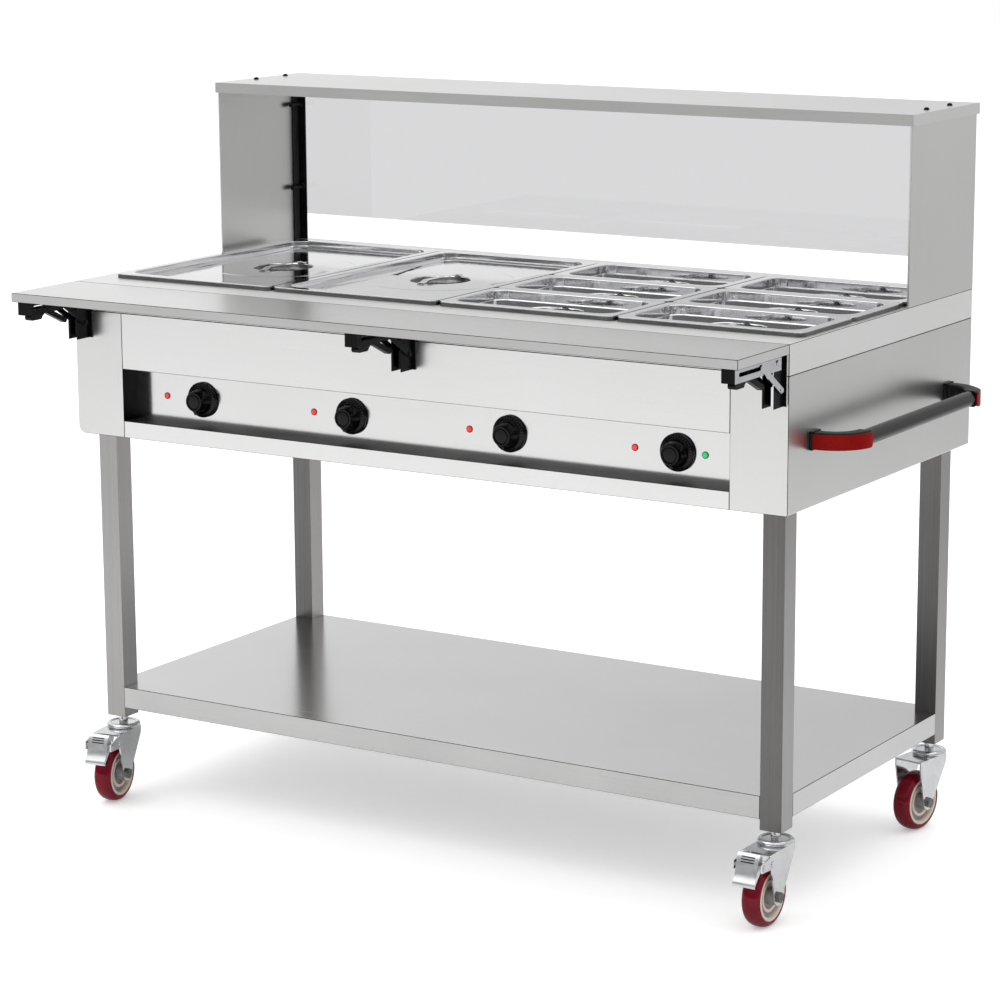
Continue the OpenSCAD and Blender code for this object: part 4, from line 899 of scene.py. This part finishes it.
studioSet = {"floor": "#FAFAFA", "floorNear": "#FFFFFF", "floorFar": "#C6C6C6", "floorHalf": 20,
             "floorRough": 0.9, "floorAlong": (0.6, 0.8, 0), "floorTurn": (-0.5, 3.5), "glow": 0.3,
             "world": 1.0, "gradeTurn": (-0.66, -0.42), "grade": (1.0, 0.72),
             "frontLow": 0.15, "frontTurn": (0.25, 0.6), "frontEdge": (0.1, -0.15),
             "lamps": {"keyLamp": {"place": (-2.0, -2.6, 4.4), "aim": (0, 0, 0.6), "size": 3.0, "power": 40},
                       "topLamp": {"place": (0.4, 0.6, 4.2), "aim": (0, 0, 0.8), "size": 3.4, "power": 30}}}
cameraSet = {"place": (2.7855, -4.52745, 1.6708), "yaw": 0.55738, "pitch": 0.20857, "roll": -0.00546,
             "lens": 115.06, "sensor": 36, "far": 100}  # angles in radians, place from the body's middle


def ranged(tree, source, turn, result=(0, 1)):
    # Carries the stretch from one end of turn to the other over to the two values of result
    settings = {"From Min": turn[0], "From Max": turn[1], "To Min": result[0], "To Max": result[1]}
    return addNode(tree, "ShaderNodeMapRange", settings, {0: source}).outputs[0]


def paperFloor():
    # White where it is seen straight or through the pane; other rays see it grey towards the back right
    paper, tree, sheet = newShader("paperFloor", {
        "Roughness": studioSet["floorRough"], "Specular IOR Level": 0, "Emission Color": (1, 1, 1, 1)})
    ray = addNode(tree, "ShaderNodeLightPath")
    spot = addNode(tree, "ShaderNodeTexCoord").outputs["Object"]
    diagonal = addNode(tree, "ShaderNodeVectorMath",
                       {"operation": "DOT_PRODUCT", 1: studioSet["floorAlong"]}, {0: spot})
    grade = ranged(tree, diagonal.outputs["Value"], studioSet["floorTurn"])
    near, far = linear(studioSet["floorNear"]), linear(studioSet["floorFar"])
    graded = addNode(tree, "ShaderNodeMix", {"data_type": "RGBA", 6: near, 7: far}, {0: grade})
    straight = addNode(tree, "ShaderNodeMath", {"operation": "MAXIMUM"},
                       {0: ray.outputs["Is Camera Ray"], 1: ray.outputs["Is Transmission Ray"]}).outputs[0]
    shown = addNode(tree, "ShaderNodeMix", {"data_type": "RGBA", 7: linear(studioSet["floor"])},
                    {0: straight, 6: graded.outputs[2]})
    glow = addNode(tree, "ShaderNodeMath", {"operation": "MULTIPLY", 1: studioSet["glow"]}, {0: straight})
    tree.links.new(glow.outputs[0], sheet.inputs["Emission Strength"])
    tree.links.new(shown.outputs[2], sheet.inputs["Base Color"])
    return paper


def whiteRoom():
    # An even white room; reflections see it greyer away from the left and dark low down in front of the
    # table, so that polished walls and rims get dark outlines
    world = bpy.data.worlds.new("whiteStudio")
    world.use_nodes = True
    tree = world.node_tree
    ray = addNode(tree, "ShaderNodeLightPath")
    toward = addNode(tree, "ShaderNodeSeparateXYZ", None,
                     {0: addNode(tree, "ShaderNodeTexCoord").outputs["Generated"]})
    side = ranged(tree, toward.outputs[0], studioSet["gradeTurn"], studioSet["grade"])
    rise = ranged(tree, toward.outputs[2], studioSet["frontTurn"], (studioSet["frontLow"], 1))
    front = ranged(tree, toward.outputs[1], studioSet["frontEdge"])
    room = addNode(tree, "ShaderNodeMix", None, {0: front, 2: side, 3: rise})
    strength = addNode(tree, "ShaderNodeMix", {2: studioSet["world"]},
                       {0: ray.outputs["Is Glossy Ray"], 3: room.outputs[0]})
    sky = tree.nodes["Background"]
    sky.inputs["Color"].default_value = (1, 1, 1, 1)
    tree.links.new(strength.outputs[0], sky.inputs["Strength"])
    return world


def softLamp(name, settings):
    lamp = bpy.data.lights.new(name, "AREA")
    lamp.shape = "SQUARE"
    lamp.size = settings["size"]
    lamp.energy = settings["power"]
    place = Vector(settings["place"])
    holder = bpy.data.objects.new(name, lamp)
    holder.location = place
    holder.rotation_euler = (Vector(settings["aim"]) - place).to_track_quat("-Z", "Y").to_euler()
    bpy.context.scene.collection.objects.link(holder)


def photoCamera():
    yaw, pitch, roll = cameraSet["yaw"], cameraSet["pitch"], cameraSet["roll"]
    ahead = Vector((-math.sin(yaw) * math.cos(pitch), math.cos(yaw) * math.cos(pitch), -math.sin(pitch)))
    right = Vector((math.cos(yaw), math.sin(yaw), 0))
    up = right.cross(ahead)
    rolledRight = math.cos(roll) * right + math.sin(roll) * up
    rolledUp = -math.sin(roll) * right + math.cos(roll) * up
    turn = Matrix((rolledRight, rolledUp, -ahead)).transposed().to_4x4()
    camera = bpy.data.objects.new("photoCamera", bpy.data.cameras.new("photoCamera"))
    camera.data.lens = cameraSet["lens"]
    camera.data.sensor_width = cameraSet["sensor"]
    camera.data.clip_end = cameraSet["far"]
    camera.matrix_world = Matrix.Translation(Vector(cameraSet["place"]) + bodyMiddle) @ turn
    bpy.context.scene.collection.objects.link(camera)
    return camera


bm = bmesh.new()
bmesh.ops.create_grid(bm, x_segments=1, y_segments=1, size=studioSet["floorHalf"])
mesh = bpy.data.meshes.new("studioFloor")
bm.to_mesh(mesh)
bm.free()
mesh.materials.append(paperFloor())
floor = bpy.data.objects.new("studioFloor", mesh)
bpy.context.scene.collection.objects.link(floor)
bpy.context.scene.world = whiteRoom()
for name, settings in studioSet["lamps"].items():
    softLamp(name, settings)
bpy.context.scene.camera = photoCamera()
bpy.context.scene.view_settings.view_transform = "Standard"
print("studio:", len(studioSet["lamps"]), "lamps")
